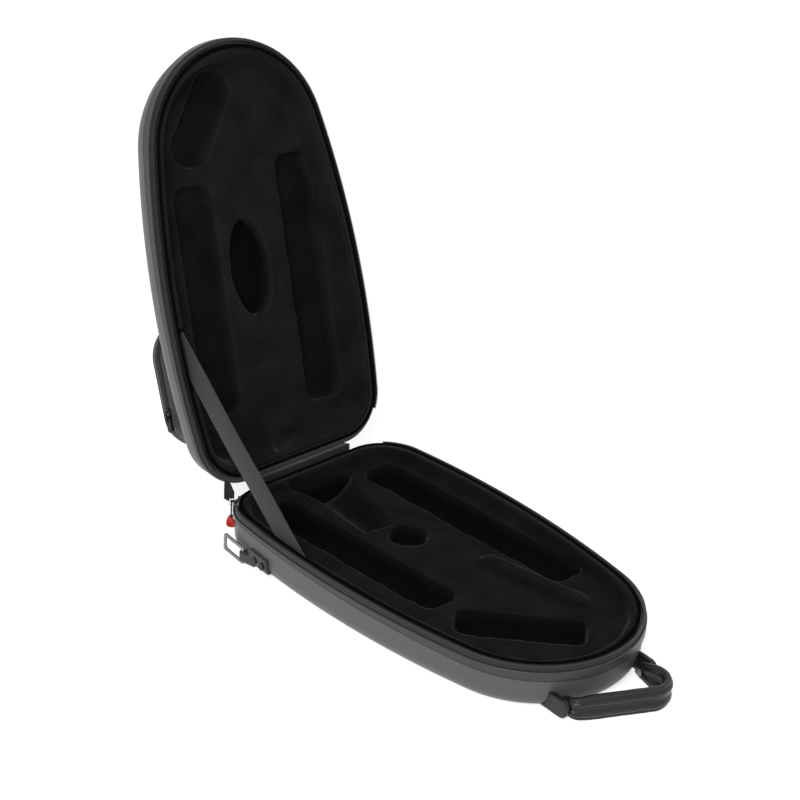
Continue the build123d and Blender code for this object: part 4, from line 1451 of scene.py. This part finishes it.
@dataclass
class Pocket:
    """Zipped accessory pocket on the outside of the lid."""

    half_width: float = 0.097
    low: float = 0.030
    high: float = 0.152
    corner: float = 0.034
    depth: float = 0.076
    split: float = 0.060
    edge_round: float = 0.012
    zip_start: float = 0.026
    slider_start: float = 0.040
    slider_room: float = 0.0061
    voxel: float = 0.0012
    fill: float = 0.4
    unevenness: float = 0.0005
    patch: float = 0.03
    crown: float = 0.0022
    piping: float = 0.0013
    piping_pitch: float = 0.003
    piping_out: float = 0.00065  # how far outside the outline the foot's piping runs
    seam: float = 0.002
    stitch_pitch: float = 0.0034
    fold_reach: float = 0.0055
    fold_thickness: float = 0.0009
    fold_seat: float = 0.0003
    fold_bend: float = 0.0016
    fold_stitch: float = 0.0039
    fold_columns: int = 40
    fold_steps: int = 14
    zip_half: ZipHalf = ZipHalf(
        0.0003, 0.002, 0.0012, 0.0005, 0.0032, 0.0009, 0.0013, 0.0009, 0.0006, 0.00028
    )
    halves: tuple[tuple[int, str, str], ...] = ((-1, "pocket", "lid"), (1, "pocket_flap", "pocket_flap"))

    @property
    def top_y(self) -> float:
        """The pocket's end beside the hinge."""
        return CASE.length / 2 - self.low

    @property
    def straight_half(self) -> float:
        """Half the straight length between two corners."""
        return self.half_width - self.corner

    def outline(self, inset: float, pitch: float) -> list[Station]:
        """Stations round the pocket on the shut lid's rim plane, from its hinge end."""
        x, top = self.straight_half, self.top_y - self.corner
        bottom = CASE.length / 2 - self.high + self.corner
        found: list[Station] = []
        for x, y, start in ((x, top, 90), (x, bottom, 0), (-x, bottom, -90), (-x, top, -180)):
            arc = Arc(Vector((x, y, CASE.rim_z)), self.corner, start, start - 90)
            stations = arc.stations(inset, pitch)
            if found:
                found += self.straight(found[-1], stations[0], pitch)
            found += stations
        return found + self.straight(found[-1], found[0], pitch)

    @staticmethod
    def straight(start: Station, end: Station, pitch: float) -> list[Station]:
        """Stations on the straight line between two arcs."""
        steps = max(1, math.ceil((end.point - start.point).length / pitch))
        return [start.at(start.point.lerp(end.point, step / steps)) for step in range(1, steps)]

    def at_depth(self, stations: Iterable[Station], depth: float) -> list[Station]:
        """Stations lifted to a depth of the lid and swung open with it."""
        return [s.at(s.shifted(0, depth)).turned(CASE.opening) for s in stations]

    def zip_run(self, hand: int, inset: float, depth: float) -> list[Station]:
        """Stations of the part of the outline that the zip follows, at a depth from its middle."""
        right_end = self.top_y - self.zip_start
        left_end = right_end if hand < 0 else self.top_y - self.slider_start - self.slider_room
        run = self.outline(inset, self.zip_half.tooth_pitch)
        along = [s for s in run if s.point.y < (right_end if s.point.x > 0 else left_end)]
        return self.at_depth(along, self.split + hand * depth)

    def bulge(self, place: Vector, normal: Vector) -> Vector:
        """Crowns the pocket's face a little, as a full pocket is."""
        shut = CASE.opening.inverted() @ place
        middle = CASE.length / 2 - (self.low + self.high) / 2
        across = min(1.0, abs(shut.x) / self.half_width)
        down = min(1.0, abs(shut.y - middle) / ((self.high - self.low) / 2))
        share = from_0_to_1((shut.z - CASE.rim_z - self.split) / (self.depth - self.split))
        shut.z += self.crown * (1 - across**2) * (1 - down**2) * share
        return CASE.opening @ shut

    def build(self) -> None:
        """Makes the gusset, the flap, their piping, zips and stitches."""
        gusset = softened("pocket_side", "pocket_gusset", self.voxel, rounds=2)
        dress(gusset, POCKET_CLOTH, "lid", "pocket_gusset")
        flap = softened("pocket_front", "pocket_flap", self.voxel)
        moved_points(flap, self.bulge)
        moved_points(flap, uneven(self.unevenness, self.patch))
        dress(flap, POCKET_CLOTH, "pocket_flap", "pocket_flap")
        self.build_piping()
        self.build_fold()
        for half in self.halves:
            self.build_zip(*half)

    def build_fold(self) -> None:
        """Makes the cloth on which the flap folds out, along the side without a zip."""
        middle_y = self.top_y + self.fold_thickness / 2 - self.fold_seat
        split_z = CASE.rim_z + self.split
        opening = CASE.opening
        normal = opening.to_3x3() @ Vector((0, 1, 0))
        rises = [self.fold_reach * (2 * step / self.fold_steps - 1) for step in range(self.fold_steps + 1)]
        line = [(opening @ Vector((0, middle_y, split_z + rise)), normal) for rise in rises]
        half_length = self.straight_half
        piece = folded_cloth("pocket_fold_cloth", line, half_length, self.fold_thickness, self.fold_columns)
        dress(piece, POCKET_TAPE, None)
        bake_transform(piece)
        for hand, owner, body in self.halves:
            place = opening @ Vector((0, middle_y, split_z + hand * self.fold_stitch))
            place += normal * (self.fold_thickness / 2)
            row = row_along_x(place, normal, half_length, self.stitch_pitch)
            stitch(f"{owner}_fold_stitches", [row], Slot.POCKET_FABRIC, body)

    def build_piping(self) -> None:
        """Makes the cord piping round the flap's face and round the pocket's foot."""
        lean = self.edge_round * (1 - math.cos(math.radians(45)))
        front = self.at_depth(self.outline(lean, self.piping_pitch), self.depth - lean)
        shell = Surface(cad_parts["lid_shell"])
        way = CASE.opening.to_3x3() @ -UP
        foot = []
        for s in self.at_depth(self.outline(-self.piping_out, self.piping_pitch), self.depth):
            found = shell.under(s.point, way)
            if found is not None:
                foot.append(s.at(found[0]))
        outline = rounded_box(2 * self.piping, 2 * self.piping, self.piping * 0.98, 2)
        for place, run, body in (("front", front, "pocket_flap"), ("foot", foot, "lid")):
            cord = Draft().carry(outline, run, loop=True).built(f"pocket_piping_{place}")
            dress(cord, LEATHER, body)

    def build_zip(self, hand: int, owner: str, body: str) -> None:
        """Makes one side of the pocket's zip and its row of stitches."""
        inset = self.zip_half.inset
        self.zip_half.build(owner, body, lambda d: self.zip_run(hand, inset, d), POCKET_COIL, POCKET_TAPE)
        seam = self.zip_run(hand, 0.0, self.zip_half.groove + self.seam)
        every = round(self.stitch_pitch / self.zip_half.tooth_pitch)
        row = [Station(s.point, s.along, s.up, s.out) for s in seam[::every]]
        stitch(f"{owner}_stitches", [row], Slot.POCKET_FABRIC, body)


# ---- studio


@dataclass
class Studio:
    """Pale floor, soft light and the camera."""

    azimuth: float = -44.6
    elevation: float = 27.6
    roll: float = 3.64
    distance: float = 1.996
    lens: float = 101.0
    target: tuple[float, float, float] = (-0.001, 0.075, 0.169)
    floor_half: float = 6.0
    ambient: float = 0.36
    key_power: float = 44.0
    key_size: float = 1.1
    key_place: tuple[float, float, float] = (-1.9, -1.1, 1.9)

    def build(self) -> None:
        """Makes the whole set."""
        self.floor()
        self.world()
        self.lamp()
        self.camera()
        bpy.context.scene.view_settings.view_transform = "Standard"

    def floor(self) -> None:
        """Lays the floor under the case."""
        ways = ((-1, -1), (1, -1), (1, 1), (-1, 1))
        corners = [(x * self.floor_half, y * self.floor_half, 0) for x, y in ways]
        mesh = bpy.data.meshes.new("floor")
        mesh.from_pydata(corners, [], [(0, 1, 2, 3)])
        mesh.materials.append(PALE_FLOOR.material())
        placed("floor", mesh)

    def world(self) -> None:
        """Fills the room with even light and shows it white to the camera."""
        world = bpy.data.worlds.new("studio")
        bpy.context.scene.world = world
        world.use_nodes = True
        nodes = Nodes(world.node_tree)
        room, white = (
            nodes.node("ShaderNodeBackground", inputs={"Color": WHITE, "Strength": strength})
            for strength in (self.ambient, 1.0)
        )
        mix = nodes.node("ShaderNodeMixShader", inputs={0: nodes.seen(), 1: room, 2: white})
        out = nodes.tree.nodes.new("ShaderNodeOutputWorld")
        nodes.join(out.inputs["Surface"], mix)

    def lamp(self) -> None:
        """Hangs one large soft lamp over the near side."""
        data = bpy.data.lights.new("softbox", "AREA")
        data.shape = "SQUARE"
        data.size = self.key_size
        data.energy = self.key_power
        lamp = placed("softbox", data)
        lamp.location = self.key_place
        aim = Vector(self.target) - Vector(self.key_place)
        lamp.rotation_euler = aim.to_track_quat("-Z", "Y").to_euler()

    def camera(self) -> None:
        """Sets the camera by angle, distance and roll."""
        data = bpy.data.cameras.new("camera")
        data.lens = self.lens
        place = Matrix.Translation(self.target)
        for angle, axis in ((self.azimuth, "Z"), (90 - self.elevation, "X"), (self.roll, "Z")):
            place = place @ Matrix.Rotation(math.radians(angle), 4, axis)
        camera = placed("camera", data)
        camera.matrix_world = place @ Matrix.Translation(UP * self.distance)
        bpy.context.scene.camera = camera


def main() -> None:
    """Builds every piece in order and writes how large the model is."""
    logging.basicConfig(level=logging.INFO, format="%(name)s: %(message)s")
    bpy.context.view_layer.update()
    rim = Rim()
    Studio().build()
    Shells().dress()
    for side in Side:
        Lining(side, rim).build()
        RimZip(rim, side).build()
    ZipEnd().build()
    HingeStrip().build()
    StayRibbon().build()
    Handle().build()
    RingChapes(rim).build()
    Pocket().build()


if __name__ == "__main__":
    main()
